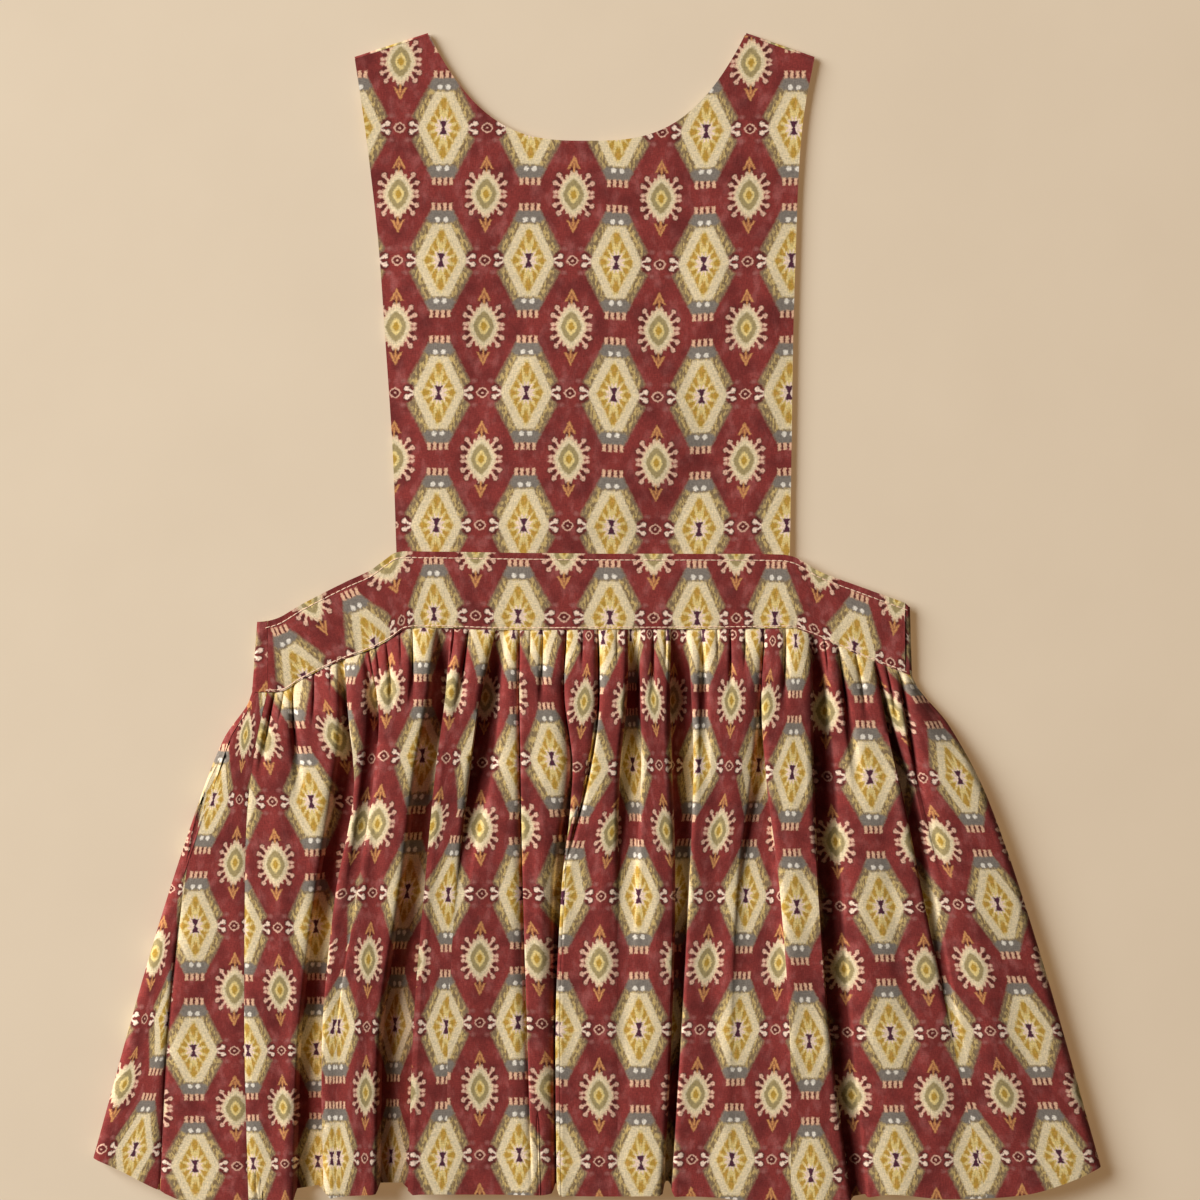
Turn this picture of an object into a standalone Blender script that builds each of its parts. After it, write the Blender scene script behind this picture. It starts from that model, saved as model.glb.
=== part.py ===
"""Child's pinafore dress with a flat bib, crossed back straps and a full gathered skirt, laid flat.

The garment lies on its back on the plane z = 0. +Y runs from the hem to the shoulders, +X to the right as
seen from above, and the origin is under the middle of its outline. Tables and sizes are in millimetres and
become metres when a mesh is made. Every piece of cloth is a wall of one thickness, built on a grid of points
in the middle of the cloth, and is sewn to its neighbours across a gap that a thread would bridge.
"""
import math
from collections import namedtuple

import bpy
from mathutils import Vector

MM = 0.001

# Cloth and how its layers lie on each other: each centre height is one layer above the last.
CLOTH = 1.2
SEAM_GAP = 0.3
LAYER = CLOTH + SEAM_GAP
LIES_LOW = CLOTH / 2
LIES_SECOND = LIES_LOW + LAYER
LIES_THIRD = LIES_SECOND + LAYER
OUTLINE_INSET = CLOTH / 2

# Bib: its sides, from the shoulders down to the waist seam, and its scooped neck.
BibRow = namedtuple("BibRow", "height left right")
BIB_ROWS = (
    BibRow(270.2, -116.6, 104.6),
    BibRow(245.0, -112.8, 99.8),
    BibRow(219.5, -109.4, 97.2),
    BibRow(180.5, -105.1, 95.6),
    BibRow(134.5, -101.8, 94.2),
    BibRow(80.0, -98.2, 93.4),
    BibRow(32.0, -96.4, 92.6),
)
NECK_TOP = 281.8
NECK_MIDDLE = -4.8
NECK_HALF_WIDTH = 76.3
NECK_DEPTH = 52.0
NECK_POWER = 3
BIB_TUCK = 8.0
BIB_LIFT_CENTRE = (-5.4, 92.6)
BIB_LIFT_REACH = (34.0, 44.0)
BIB_LIFT_END = (60.0, 60.0)

# Shoulders: the outer and inner corner of each one's folded edge, and the straps that run on behind.
Shoulder = namedtuple("Shoulder", "name outer inner crosses_over")
SHOULDERS = (
    Shoulder("strap_left", (-116.6, 270.2), (-81.1, 281.8), False),
    Shoulder("strap_right", (104.6, 270.2), (71.5, 281.8), True),
)
STRAP_SLANT = math.radians(27)
STRAP_HALF_WIDTH = 16.5
STRAP_FOLD_RADIUS = LAYER / 2
STRAP_FOLD_STEPS = 4
STRAP_CROSSING = 205.8
STRAP_CROSS_HALF = 33.5
STRAP_RAMP = 15.0
STRAP_STATIONS = (10, 30, 70, 115, 157, 172, 206, 240, 255, 268, 282, 296, 309)
STRAP_COLUMNS = (1.0, 0.5, 0.0, -0.5, -1.0)
STRAP_SQUARE_FROM = 262.0
STRAP_CLIMBS_AT = 289.0

# Waistband front: where its upper and lower edges run, from the left side seam to the right one.
BandRow = namedtuple("BandRow", "upper_x upper_y lower_x lower_y")
BAND_ROWS = (
    BandRow(-157.7, -0.5, -157.7, -34.5),
    BandRow(-151.5, 1.6, -150.0, -33.8),
    BandRow(-140.0, 8.3, -142.5, -29.0),
    BandRow(-121.0, 18.0, -124.0, -19.8),
    BandRow(-109.0, 23.6, -107.0, -13.4),
    BandRow(-101.5, 29.0, -99.0, -9.0),
    BandRow(-95.0, 32.6, -92.0, -4.4),
    BandRow(-80.0, 32.8, -80.0, -3.6),
    BandRow(-46.5, 32.3, -46.5, -4.6),
    BandRow(1.5, 31.8, 1.5, -4.4),
    BandRow(49.5, 31.7, 49.5, -4.3),
    BandRow(84.0, 31.5, 84.0, -3.9),
    BandRow(93.0, 30.6, 94.0, -3.9),
    BandRow(99.0, 27.8, 101.5, -6.3),
    BandRow(107.5, 22.8, 111.8, -10.6),
    BandRow(126.5, 15.8, 128.5, -18.0),
    BandRow(147.5, 8.2, 147.5, -25.4),
)
BAND_CROWN = 0.5
BAND_COLUMNS_PER_ROW = 3
BAND_ROWS_ACROSS = 4

# Waistband back: its upper and lower corner at each side, and the arch of its hidden middle.
SideCorner = namedtuple("SideCorner", "seam_x seam_y edge_x edge_y")
BACK_LEFT_UPPER = SideCorner(-158.0, -0.6, -163.2, -1.0)
BACK_LEFT_LOWER = SideCorner(-158.0, -34.5, -165.6, -34.6)
BACK_RIGHT_UPPER = SideCorner(147.8, 8.0, 150.2, 5.3)
BACK_RIGHT_LOWER = SideCorner(147.8, -25.6, 151.2, -27.4)
BACK_ARCH = 10.0
BACK_FLOOR_COLUMNS = 16
BACK_ROWS_ACROSS = 3

# Skirt: levels from the gathered seam (0) to the hem (1), where the tables below give their columns.
LEVELS = (0.0, 0.01, 0.03, 0.06, 0.1, 0.15, 0.22, 0.32, 0.44, 0.58, 0.72, 0.86, 1.0)
TABLE_LEVELS = (0.0, 0.25, 0.55, 1.0)
DEPTH_LEVELS = (0.0, 0.45, 1.0)
EDGE_LEVELS = (0.0, 0.03, 0.1, 0.25, 0.55, 1.0)
LEFT_EDGE = (-165.6, -168.2, -179.0, -192.0, -213.5, -241.4)
RIGHT_EDGE = (151.2, 155.0, 168.8, 187.4, 211.3, 241.4)

# Each long fold's valley: where it runs, how deep it is (1 reaches the back), the widths over which the
# cloth falls into it and rises out of it, how far its steep side leans over it, and the crest after it.
Fold = namedtuple("Fold", "name waist quarter middle hem deep_top deep_middle deep_hem fall rise lean crest")
FOLDS = (
    Fold("left_crease", -161.0, -185.0, -203.5, -209.0, 0.0, 0.28, 0.10, 8.0, 5.0, 0.0, 9.5),
    Fold("side_seam", -158.2, -167.6, -168.4, -166.6, 0.0, 0.0, 0.0, 5.0, 5.0, 0.0, 10.5),
    Fold("first_pleat", -121.0, -119.5, -132.0, -134.0, 0.9, 0.95, 0.95, 24.0, 4.5, 2.5, 12.5),
    Fold("second_pleat", -74.5, -77.5, -87.0, -92.0, 0.95, 0.95, 0.9, 16.0, 4.5, 2.5, 12.5),
    Fold("slant_tuck", -49.5, -57.0, -66.0, -70.0, 0.85, 0.0, 0.0, 3.5, 12.0, 1.5, 11.5),
    Fold("soft_edge", -38.0, -38.0, -36.5, -32.0, 0.75, 0.38, 0.05, 14.0, 3.5, 1.5, 11.5),
    Fold("third_pleat", -15.5, -13.0, -17.5, -19.5, 0.85, 0.8, 0.75, 17.0, 4.0, 2.5, 12.0),
    Fold("short_trough", 16.0, 17.5, 20.0, 22.0, 0.85, 0.0, 0.0, 7.0, 4.0, 0.5, 12.0),
    Fold("main_pleat", 39.0, 40.0, 39.6, 34.6, 1.0, 1.0, 1.0, 4.5, 4.5, 0.8, 12.0),
    Fold("centre_tuck", 78.0, 78.5, 77.0, 75.0, 0.85, 0.35, 0.08, 12.0, 3.5, 1.0, 13.5),
    Fold("fourth_pleat", 102.5, 104.2, 107.5, 122.5, 0.8, 0.8, 0.6, 3.5, 30.0, 2.0, 10.0),
    Fold("right_pleat", 132.0, 146.0, 161.5, 188.0, 0.75, 0.55, 0.04, 3.5, 17.0, 1.5, 10.0),
    Fold("right_tuck", 144.5, 157.0, 178.0, 205.0, 0.6, 0.0, 0.0, 3.5, 6.0, 0.5, 9.5),
)
FIRST_CREST = 8.8
SEAM_FOLD = 1

# Short gathers between the long folds: where each starts along the waist, how far down it runs, its depth.
Gather = namedtuple("Gather", "waist reach deep")
GATHERS = (
    Gather(-154.5, 0.18, 0.8),
    Gather(-145.5, 0.20, 0.8),
    Gather(-135.5, 0.12, 0.5),
    Gather(-111.5, 0.55, 0.5),
    Gather(-101.0, 0.14, 0.5),
    Gather(-88.5, 0.16, 0.6),
    Gather(-61.5, 0.18, 0.65),
    Gather(-26.0, 0.16, 0.55),
    Gather(0.5, 0.18, 0.75),
    Gather(27.0, 0.14, 0.5),
    Gather(50.0, 0.32, 0.4),
    Gather(64.0, 0.12, 0.6),
    Gather(90.5, 0.16, 0.55),
    Gather(115.5, 0.30, 0.65),
    Gather(124.0, 0.14, 0.4),
    Gather(138.5, 0.14, 0.5),
)
GATHER_WIDTH = 4.5
GATHER_WIDENS = 8.0
WAIST_FOLD_WIDTH = 4.5
WIDTHS_OPEN_BY = 0.35
VALLEY_HALF = 1.2
SHALLOW = 0.3
SHARPNESS = 1.8

# How the skirt falls into folds and puffs out below the waist seam, and turns under at its sides.
FLAT_TO = 0.01
FOLDS_SINK_BY = 0.05
PUFF_LEVEL = 0.16
PUFF_POWER = 0.75
SIDE_HEIGHT = 8.6
SIDE_TURNS_BY = 0.2
SIDE_TURN_STEPS = 5
RIGHT_FLAP = 12.0
FLOOR_COLUMNS = 14

HemPoint = namedtuple("HemPoint", "x y")
FRONT_HEM = (
    HemPoint(-241.4, -257.3),
    HemPoint(-228.5, -263.0),
    HemPoint(-215.0, -270.0),
    HemPoint(-197.0, -278.0),
    HemPoint(-171.0, -281.8),
    HemPoint(-145.0, -278.6),
    HemPoint(-118.0, -274.8),
    HemPoint(-60.0, -274.2),
    HemPoint(0.0, -275.0),
    HemPoint(54.0, -275.4),
    HemPoint(97.0, -280.4),
    HemPoint(123.0, -278.4),
    HemPoint(141.0, -274.6),
    HemPoint(166.0, -276.6),
    HemPoint(205.0, -274.6),
    HemPoint(228.0, -267.8),
    HemPoint(241.4, -261.5),
)
BACK_HEM = (
    HemPoint(-241.4, -257.3),
    HemPoint(-215.0, -264.5),
    HemPoint(-180.0, -266.5),
    HemPoint(200.0, -266.5),
    HemPoint(241.4, -261.5),
)
HEM_PULL = 6.0

BURGUNDY = (0.235, 0.038, 0.044, 1.0)
DEEP_BURGUNDY = (0.205, 0.032, 0.038, 1.0)


def mix(start, end, share):
    """Value a share of the way from start to end."""
    return start + (end - start) * share


def ease(share):
    """Smooth step from 0 to 1, held at both ends."""
    held = min(1.0, max(0.0, share))
    return held * held * (3 - 2 * held)


def broken_line(knots, values, where):
    """Value at a place on a line of straight runs through the knots."""
    if where <= knots[0]:
        return values[0]
    for index in range(1, len(knots)):
        if where <= knots[index]:
            share = (where - knots[index - 1]) / (knots[index] - knots[index - 1])
            return mix(values[index - 1], values[index], share)
    return values[-1]


def smooth_line(knots, values, where):
    """Value at a place on a smooth curve through the knots."""
    last = len(knots) - 1
    slopes = []
    for index in range(last + 1):
        before = max(0, index - 1)
        after = min(last, index + 1)
        slopes.append((values[after] - values[before]) / (knots[after] - knots[before]))
    if where <= knots[0]:
        return values[0]
    if where >= knots[last]:
        return values[last]
    index = 0
    while where > knots[index + 1]:
        index += 1
    run = knots[index + 1] - knots[index]
    share = (where - knots[index]) / run
    rest = 1 - share
    blend_start = (1 + 2 * share) * rest * rest
    blend_end = share * share * (3 - 2 * share)
    return (
        blend_start * values[index]
        + blend_end * values[index + 1]
        + share * rest * rest * run * slopes[index]
        - share * share * rest * run * slopes[index + 1]
    )


def unit_sum(points, index, axis_last):
    """Direction of a line of points at one of them, the mean of the runs on both sides of it."""
    total = Vector((0, 0, 0))
    if index > 0:
        total += (points[index] - points[index - 1]).normalized()
    if index < axis_last:
        total += (points[index + 1] - points[index]).normalized()
    return total


def cloth_wall(name, rows, colour, sewn_start=False):
    """Build one piece of cloth as a closed wall around a grid of points in its middle.

    The rows hold Vectors in millimetres. Seen from the outside of the cloth, a row runs to the right and the
    rows follow each other downwards. The edge of a sewn start is cut square to Y, beside its neighbour's.
    """
    row_last = len(rows) - 1
    column_last = len(rows[0]) - 1
    columns = [[row[index] for row in rows] for index in range(column_last + 1)]
    outer = []
    inner = []
    for row_index, row in enumerate(rows):
        for column_index, point in enumerate(row):
            along = unit_sum(row, column_index, column_last)
            down = unit_sum(columns[column_index], row_index, row_last)
            if sewn_start and row_index < 2:
                down = Vector((0, -1, 0))
            outward = down.cross(along).normalized() * (CLOTH / 2)
            outer.append((point + outward) * MM)
            inner.append((point - outward) * MM)
    count = len(outer)
    width = column_last + 1
    faces = []
    for row_index in range(row_last):
        for column_index in range(column_last):
            first = row_index * width + column_index
            below = first + width
            faces.append((first, below, below + 1, first + 1))
            faces.append((count + first, count + first + 1, count + below + 1, count + below))
    for column_index in range(column_last):
        top = column_index
        bottom = row_last * width + column_index
        faces.append((top, top + 1, count + top + 1, count + top))
        faces.append((bottom, count + bottom, count + bottom + 1, bottom + 1))
    for row_index in range(row_last):
        left = row_index * width
        right = left + column_last
        faces.append((left, count + left, count + left + width, left + width))
        faces.append((right, right + width, count + right + width, count + right))
    mesh = bpy.data.meshes.new(name)
    mesh.from_pydata(outer + inner, [], faces)
    mesh.validate()
    mesh.shade_smooth()
    mesh.set_sharp_from_angle(angle=math.radians(60))
    mesh.materials.append(cloth_material(name, colour))
    piece = bpy.data.objects.new(name, mesh)
    bpy.context.scene.collection.objects.link(piece)
    return piece


def cloth_material(name, colour):
    """Matt cotton in one colour."""
    material = bpy.data.materials.new(name + "_cotton")
    material.use_nodes = True
    shader = material.node_tree.nodes["Principled BSDF"]
    shader.inputs["Base Color"].default_value = colour
    shader.inputs["Roughness"].default_value = 0.88
    shader.inputs["Metallic"].default_value = 0.0
    return material


# Bib ---------------------------------------------------------------------------------------------------

def bib_side(height, side):
    """X of the bib's left or right side at a height."""
    heights = [-row.height for row in BIB_ROWS]
    places = [getattr(row, side) for row in BIB_ROWS]
    return smooth_line(heights, places, -height)


def neck_height(x):
    """Height of the scooped neck edge at an x between the two inner shoulder corners."""
    share = min(1.0, abs(x - NECK_MIDDLE) / NECK_HALF_WIDTH)
    return NECK_TOP - NECK_DEPTH * (1 - share ** NECK_POWER)


def shoulder_edge(shoulder, share):
    """Point on the bib's upper edge at a shoulder, just inside the fold of the strap."""
    outer = Vector(shoulder.outer)
    inner = Vector(shoulder.inner)
    run = (inner - outer).normalized()
    inward = Vector((run.y, -run.x)) if run.x > 0 else Vector((-run.y, run.x))
    set_back = STRAP_FOLD_RADIUS + CLOTH / 2 + SEAM_GAP
    return outer.lerp(inner, share) + inward * set_back


def bib_upper_edge():
    """Points along the bib's upper edge: left shoulder, neck, right shoulder."""
    points = [shoulder_edge(SHOULDERS[0], share) for share in (0.0, 0.33, 0.67, 1.0)]
    neck_steps = 18
    start = points[-1]
    end = shoulder_edge(SHOULDERS[1], 1.0)
    for step in range(1, neck_steps):
        turn = math.pi * step / neck_steps
        x = mix(start.x, end.x, (1 - math.cos(turn)) / 2)
        points.append(Vector((x, neck_height(x))))
    points += [shoulder_edge(SHOULDERS[1], share) for share in (1.0, 0.67, 0.33, 0.0)]
    return points


def bib_lift(x, y):
    """How far the bib is lifted above the straps' own layer where they cross below it."""
    across = (x - BIB_LIFT_CENTRE[0]) / BIB_LIFT_END[0]
    along = (y - BIB_LIFT_CENTRE[1]) / BIB_LIFT_END[1]
    distance = math.hypot(across, along)
    level = (BIB_LIFT_REACH[0] / BIB_LIFT_END[0] + BIB_LIFT_REACH[1] / BIB_LIFT_END[1]) / 2
    return LAYER * ease((1 - distance) / (1 - level))


def bib_front():
    """The bib, cut in one with the fronts of the shoulder straps, its lower edge tucked under the band."""
    upper = bib_upper_edge()
    lower_y = BIB_ROWS[-1].height - BIB_TUCK
    row_count = 15
    rows = []
    for row_index in range(row_count + 1):
        share = row_index / row_count
        row = []
        for point in upper:
            y = mix(point.y, lower_y, share)
            top_left = bib_side(point.y, "left")
            top_right = bib_side(point.y, "right")
            across = min(1.0, max(0.0, (point.x - top_left) / (top_right - top_left)))
            x = mix(bib_side(y, "left"), bib_side(y, "right"), across)
            row.append(Vector((x, y, LIES_SECOND + bib_lift(x, y))))
        rows.append(row)
    return cloth_wall("bib_front", rows, BURGUNDY)


# Straps ------------------------------------------------------------------------------------------------

def strap_height(shoulder, station):
    """Height of the middle of the cloth along a back strap."""
    climbed = ease((station - STRAP_CLIMBS_AT) / STRAP_RAMP + 0.5)
    lifted = 0.0
    if shoulder.crosses_over:
        beyond = abs(station - STRAP_CROSSING) - STRAP_CROSS_HALF
        lifted = 1 - ease(beyond / STRAP_RAMP)
    return LIES_LOW + LAYER * max(climbed, lifted)


def back_strap(shoulder):
    """A strap from the shoulder's fold, down behind the bib, to the back band."""
    outer = Vector((*shoulder.outer, 0))
    inner = Vector((*shoulder.inner, 0))
    side = 1 if inner.x > outer.x else -1
    start, end = (outer, inner) if side > 0 else (inner, outer)
    run = (end - start).normalized()
    outward = Vector((-run.y, run.x, 0))
    middle = (outer + inner) / 2
    half = (end - start).length / 2 - SEAM_GAP
    fold_centre = middle - outward * (STRAP_FOLD_RADIUS + CLOTH / 2)
    rows = []
    for step in range(STRAP_FOLD_STEPS + 1):
        turn = math.pi * (0.5 - step / STRAP_FOLD_STEPS)
        reach = outward * (STRAP_FOLD_RADIUS * math.cos(turn))
        height = LIES_LOW + STRAP_FOLD_RADIUS * (1 + math.sin(turn))
        centre = fold_centre + reach + Vector((0, 0, height))
        rows.append((centre, run * half))
    axis = Vector((side * math.sin(STRAP_SLANT), -math.cos(STRAP_SLANT), 0))
    square = Vector((-axis.y, axis.x, 0)) * STRAP_HALF_WIDTH
    level = Vector((STRAP_HALF_WIDTH / math.cos(STRAP_SLANT), 0, 0))
    for station in STRAP_STATIONS:
        centre = middle + axis * station
        centre.z = strap_height(shoulder, station)
        rows.append((centre, level if station > STRAP_SQUARE_FROM else square))
    grid = [[centre + half_width * share for share in STRAP_COLUMNS] for centre, half_width in rows]
    return cloth_wall(shoulder.name, grid, DEEP_BURGUNDY)


# Waistband ---------------------------------------------------------------------------------------------

def band_edges():
    """Upper and lower edge points of the front band, filled in smoothly between the table's rows."""
    knots = list(range(len(BAND_ROWS)))
    steps = (len(BAND_ROWS) - 1) * BAND_COLUMNS_PER_ROW
    edges = []
    for step in range(steps + 1):
        where = step / BAND_COLUMNS_PER_ROW
        upper_x, upper_y, lower_x = (
            smooth_line(knots, [row[field] for row in BAND_ROWS], where) for field in range(3)
        )
        edges.append((Vector((upper_x, upper_y, 0)), Vector((lower_x, band_lower_edge(lower_x), 0))))
    return edges


def waistband_front():
    """The shaped front band, which lies over the bib's lower edge."""
    rows = []
    for row_index in range(BAND_ROWS_ACROSS + 1):
        share = row_index / BAND_ROWS_ACROSS
        height = LIES_THIRD + BAND_CROWN * math.sin(math.pi * share)
        rows.append([upper.lerp(lower, share) + Vector((0, 0, height)) for upper, lower in band_edges()])
    return cloth_wall("waistband_front", rows, BURGUNDY)


def back_band_edge(x, upper):
    """Y of the back band's upper or lower edge where it lies on the surface."""
    left, right = (BACK_LEFT_UPPER, BACK_RIGHT_UPPER) if upper else (BACK_LEFT_LOWER, BACK_RIGHT_LOWER)
    share = (x - left.edge_x) / (right.edge_x - left.edge_x)
    held = min(1.0, max(0.0, share))
    return mix(left.edge_y, right.edge_y, held) + BACK_ARCH * math.sin(math.pi * held)


def back_band_lower_edge(x):
    """Y of the back band's lower edge."""
    return back_band_edge(x, False)


def side_turn(edge_x, radius, side, steps):
    """X and height offsets of a half turn round the garment's side, from its upper to its lower layer."""
    turn = []
    for step in range(steps + 1):
        angle = math.pi * step / steps
        turn.append((edge_x + side * radius * (math.sin(angle) - 1), radius * (1 + math.cos(angle))))
    return turn


def band_lower_edge(x):
    """Y of the lower edge of the front band and of the back band's ends beside it."""
    places = [BACK_LEFT_LOWER.edge_x] + [row.lower_x for row in BAND_ROWS] + [BACK_RIGHT_LOWER.edge_x]
    heights = [BACK_LEFT_LOWER.edge_y] + [row.lower_y for row in BAND_ROWS] + [BACK_RIGHT_LOWER.edge_y]
    return smooth_line(places, heights, x)


def band_end_point(x, height, share, upper):
    """Point of the back band's end, which shows at the side of the front band."""
    upper_y = mix(upper.seam_y, upper.edge_y, (x - upper.seam_x) / (upper.edge_x - upper.seam_x))
    return Vector((x, mix(upper_y, band_lower_edge(x), share), height))


def waistband_back():
    """The back band, from its seam on the front at one side, under the garment, to the other side's."""
    radius = (LIES_THIRD - LIES_LOW) / 2
    rows = []
    for row_index in range(BACK_ROWS_ACROSS + 1):
        share = row_index / BACK_ROWS_ACROSS
        left_edge = mix(BACK_LEFT_UPPER.edge_x, BACK_LEFT_LOWER.edge_x, share) + OUTLINE_INSET
        right_edge = mix(BACK_RIGHT_UPPER.edge_x, BACK_RIGHT_LOWER.edge_x, share) - OUTLINE_INSET
        left_turn = side_turn(left_edge, radius, -1, SIDE_TURN_STEPS)
        right_turn = side_turn(right_edge, radius, 1, SIDE_TURN_STEPS)
        row = [band_end_point(BACK_RIGHT_UPPER.seam_x, LIES_THIRD, share, BACK_RIGHT_UPPER)]
        for x, height in right_turn:
            row.append(band_turn_point(x, height, radius, share, BACK_RIGHT_UPPER))
        for column in range(1, BACK_FLOOR_COLUMNS):
            x = mix(right_turn[-1][0], left_turn[-1][0], column / BACK_FLOOR_COLUMNS)
            y = mix(back_band_edge(x, True), back_band_edge(x, False), share)
            row.append(Vector((x, y, LIES_LOW)))
        for x, height in reversed(left_turn):
            row.append(band_turn_point(x, height, radius, share, BACK_LEFT_UPPER))
        row.append(band_end_point(BACK_LEFT_UPPER.seam_x, LIES_THIRD, share, BACK_LEFT_UPPER))
        rows.append(row)
    return cloth_wall("waistband_back", rows, DEEP_BURGUNDY)


def band_turn_point(x, height, radius, share, upper):
    """Point of the back band on its turn round a side: its upper half shows, its lower half lies under."""
    if height > radius:
        return band_end_point(x, LIES_LOW + height, share, upper)
    y = mix(back_band_edge(x, True), back_band_edge(x, False), share)
    return Vector((x, y, LIES_LOW + height))


# Skirt -------------------------------------------------------------------------------------------------

class FoldLine:
    """One valley line of the skirt: its place, depth and widths at any level between waist and hem."""

    def __init__(self, place, deep, fall, rise, lean, half, is_long):
        self.place = place
        self.deep = lambda level: deep(level) * ease((level - FLAT_TO) / FOLDS_SINK_BY)
        self.fall = fall
        self.rise = rise
        self.lean = lean
        self.half = half
        self.is_long = is_long

    def widths(self, level):
        """Widths of the falling and the rising side at a level; gathers are tight at the waist."""
        opened = ease(level / WIDTHS_OPEN_BY)
        fall = mix(min(self.fall, WAIST_FOLD_WIDTH), self.fall, opened)
        rise = mix(min(self.rise, WAIST_FOLD_WIDTH), self.rise, opened)
        return fall, rise

    def cut(self, x, level):
        """Share of the cloth's height that the valley takes away at an x, and its sideways lean there."""
        away = x - self.place(level)
        fall, rise = self.widths(level)
        width = fall if away < 0 else rise
        share = max(0.0, abs(away) - self.half) / width
        if share >= 1:
            return 0.0, 0.0
        steep_side = 1 if rise < fall else -1
        leaning = 0.0
        if away * steep_side > 0:
            leaning = -steep_side * self.lean * self.deep(level) * math.sin(math.pi * share) ** 2
        return self.deep(level) * (1 - share) ** SHARPNESS, leaning * ease((level - FLAT_TO) / PUFF_LEVEL)


def side_height(level):
    """Height of the rounded sides of the skirt, from the band's thickness to their full height."""
    return mix(LIES_THIRD, SIDE_HEIGHT, ease(level / SIDE_TURNS_BY))


def side_radius(level):
    """Radius of the turn under at the sides."""
    return (side_height(level) - LIES_LOW) / 2


def left_start(level):
    """X where the skirt's upper layer starts beside its left turn."""
    return smooth_line(EDGE_LEVELS, LEFT_EDGE, level) + OUTLINE_INSET + side_radius(level)


def right_end(level):
    """X where the skirt's upper layer ends beside its right turn."""
    return smooth_line(EDGE_LEVELS, RIGHT_EDGE, level) - OUTLINE_INSET - side_radius(level)


def long_line(fold):
    """The valley line of one row of the long folds' table."""
    places = (fold.waist, fold.quarter, fold.middle, fold.hem)
    depths = (fold.deep_top, fold.deep_middle, fold.deep_hem)
    return FoldLine(
        lambda level: smooth_line(TABLE_LEVELS, places, level),
        lambda level: broken_line(DEPTH_LEVELS, depths, level),
        fold.fall,
        fold.rise,
        fold.lean,
        VALLEY_HALF if max(depths) > 0 else 0.0,
        max(depths) > SHALLOW,
    )


def gather_line(gather, before, after):
    """The valley line of one short gather, which keeps its share of the way between two long folds."""
    share = (gather.waist - before.place(0)) / (after.place(0) - before.place(0))
    return FoldLine(
        lambda level: mix(before.place(level), after.place(level), share),
        lambda level: gather.deep * (1 - ease(level / gather.reach)),
        GATHER_WIDTH,
        GATHER_WIDTH + GATHER_WIDENS * gather.reach,
        0.0,
        VALLEY_HALF,
        False,
    )


def edge_line(place):
    """A line with no depth, where the upper layer starts or ends."""
    return FoldLine(place, lambda level: 0.0, GATHER_WIDTH, GATHER_WIDTH, 0.0, 0.0, False)


def skirt_lines():
    """All lines of the skirt's upper layer from left to right, and the long ones among them."""
    long_lines = [edge_line(left_start)] + [long_line(fold) for fold in FOLDS] + [edge_line(right_end)]
    lines = list(long_lines)
    for gather in GATHERS:
        after = next(line for line in long_lines if line.place(0) > gather.waist)
        before = long_lines[long_lines.index(after) - 1]
        lines.append(gather_line(gather, before, after))
    lines.sort(key=lambda line: line.place(0))
    return lines, long_lines


LINES, LONG_LINES = skirt_lines()
CRESTS = (FIRST_CREST,) + tuple(fold.crest for fold in FOLDS)


def crest_height(x, level):
    """Height of the cloth's crests over x, before any valley is cut into it."""
    places = [line.place(level) for line in LONG_LINES]
    middles = [(places[index] + places[index + 1]) / 2 for index in range(len(places) - 1)]
    side = side_height(level)
    knots = [places[0]] + middles + [places[-1]]
    crest = broken_line(knots, [side] + list(CRESTS) + [side], x)
    puffed = ease((level - FLAT_TO) / PUFF_LEVEL) ** PUFF_POWER
    return mix(LIES_THIRD, crest, puffed)


def upper_point(x, level):
    """X and height of the skirt's upper layer at a nominal x and a level."""
    kept = 1.0
    moved = x
    for line in LINES:
        cut, leaning = line.cut(x, level)
        kept *= 1 - cut
        moved += leaning
    crest = crest_height(x, level)
    side_fade = min(1.0, (x - left_start(level)) / 6, (right_end(level) - x) / 6)
    kept = mix(1.0, kept, ease(side_fade))
    return moved, LIES_SECOND + (crest - LIES_SECOND) * kept


def columns_between(before, after, level):
    """Nominal x of the columns from one line to just before the next, more of them where a side is steep."""
    span = after.place(level) - before.place(level)
    start = before.place(level) + min(before.half, 0.2 * span)
    end = after.place(level) - min(after.half, 0.2 * span)
    gap = end - start
    columns = [start]
    if before.is_long:
        rise = before.widths(level)[1]
        columns += [start + min(0.45 * rise, 0.18 * gap), start + min(rise, 0.36 * gap)]
    else:
        columns.append(start + 0.27 * gap)
    columns.append(start + 0.5 * gap)
    if after.is_long:
        fall = after.widths(level)[0]
        columns += [end - min(fall, 0.36 * gap), end - min(0.45 * fall, 0.18 * gap)]
    else:
        columns.append(end - 0.27 * gap)
    if after.half > 0:
        columns.append(end)
    return columns


def hem_height(x, on_front):
    """Y of the hem at an x, drawn up where a deep fold takes in the cloth of the front."""
    table = FRONT_HEM if on_front else BACK_HEM
    height = smooth_line([point.x for point in table], [point.y for point in table], x)
    if on_front:
        for line in LONG_LINES:
            height += HEM_PULL * line.cut(x, 1.0)[0]
    return height


def below_seam(edge, x):
    """Y of the skirt's start at an x, one seam gap below a band's edge, measured square to the edge."""
    slope = (edge(x + 1) - edge(x - 1)) / 2
    return edge(x) - SEAM_GAP * math.hypot(1, slope)


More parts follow.
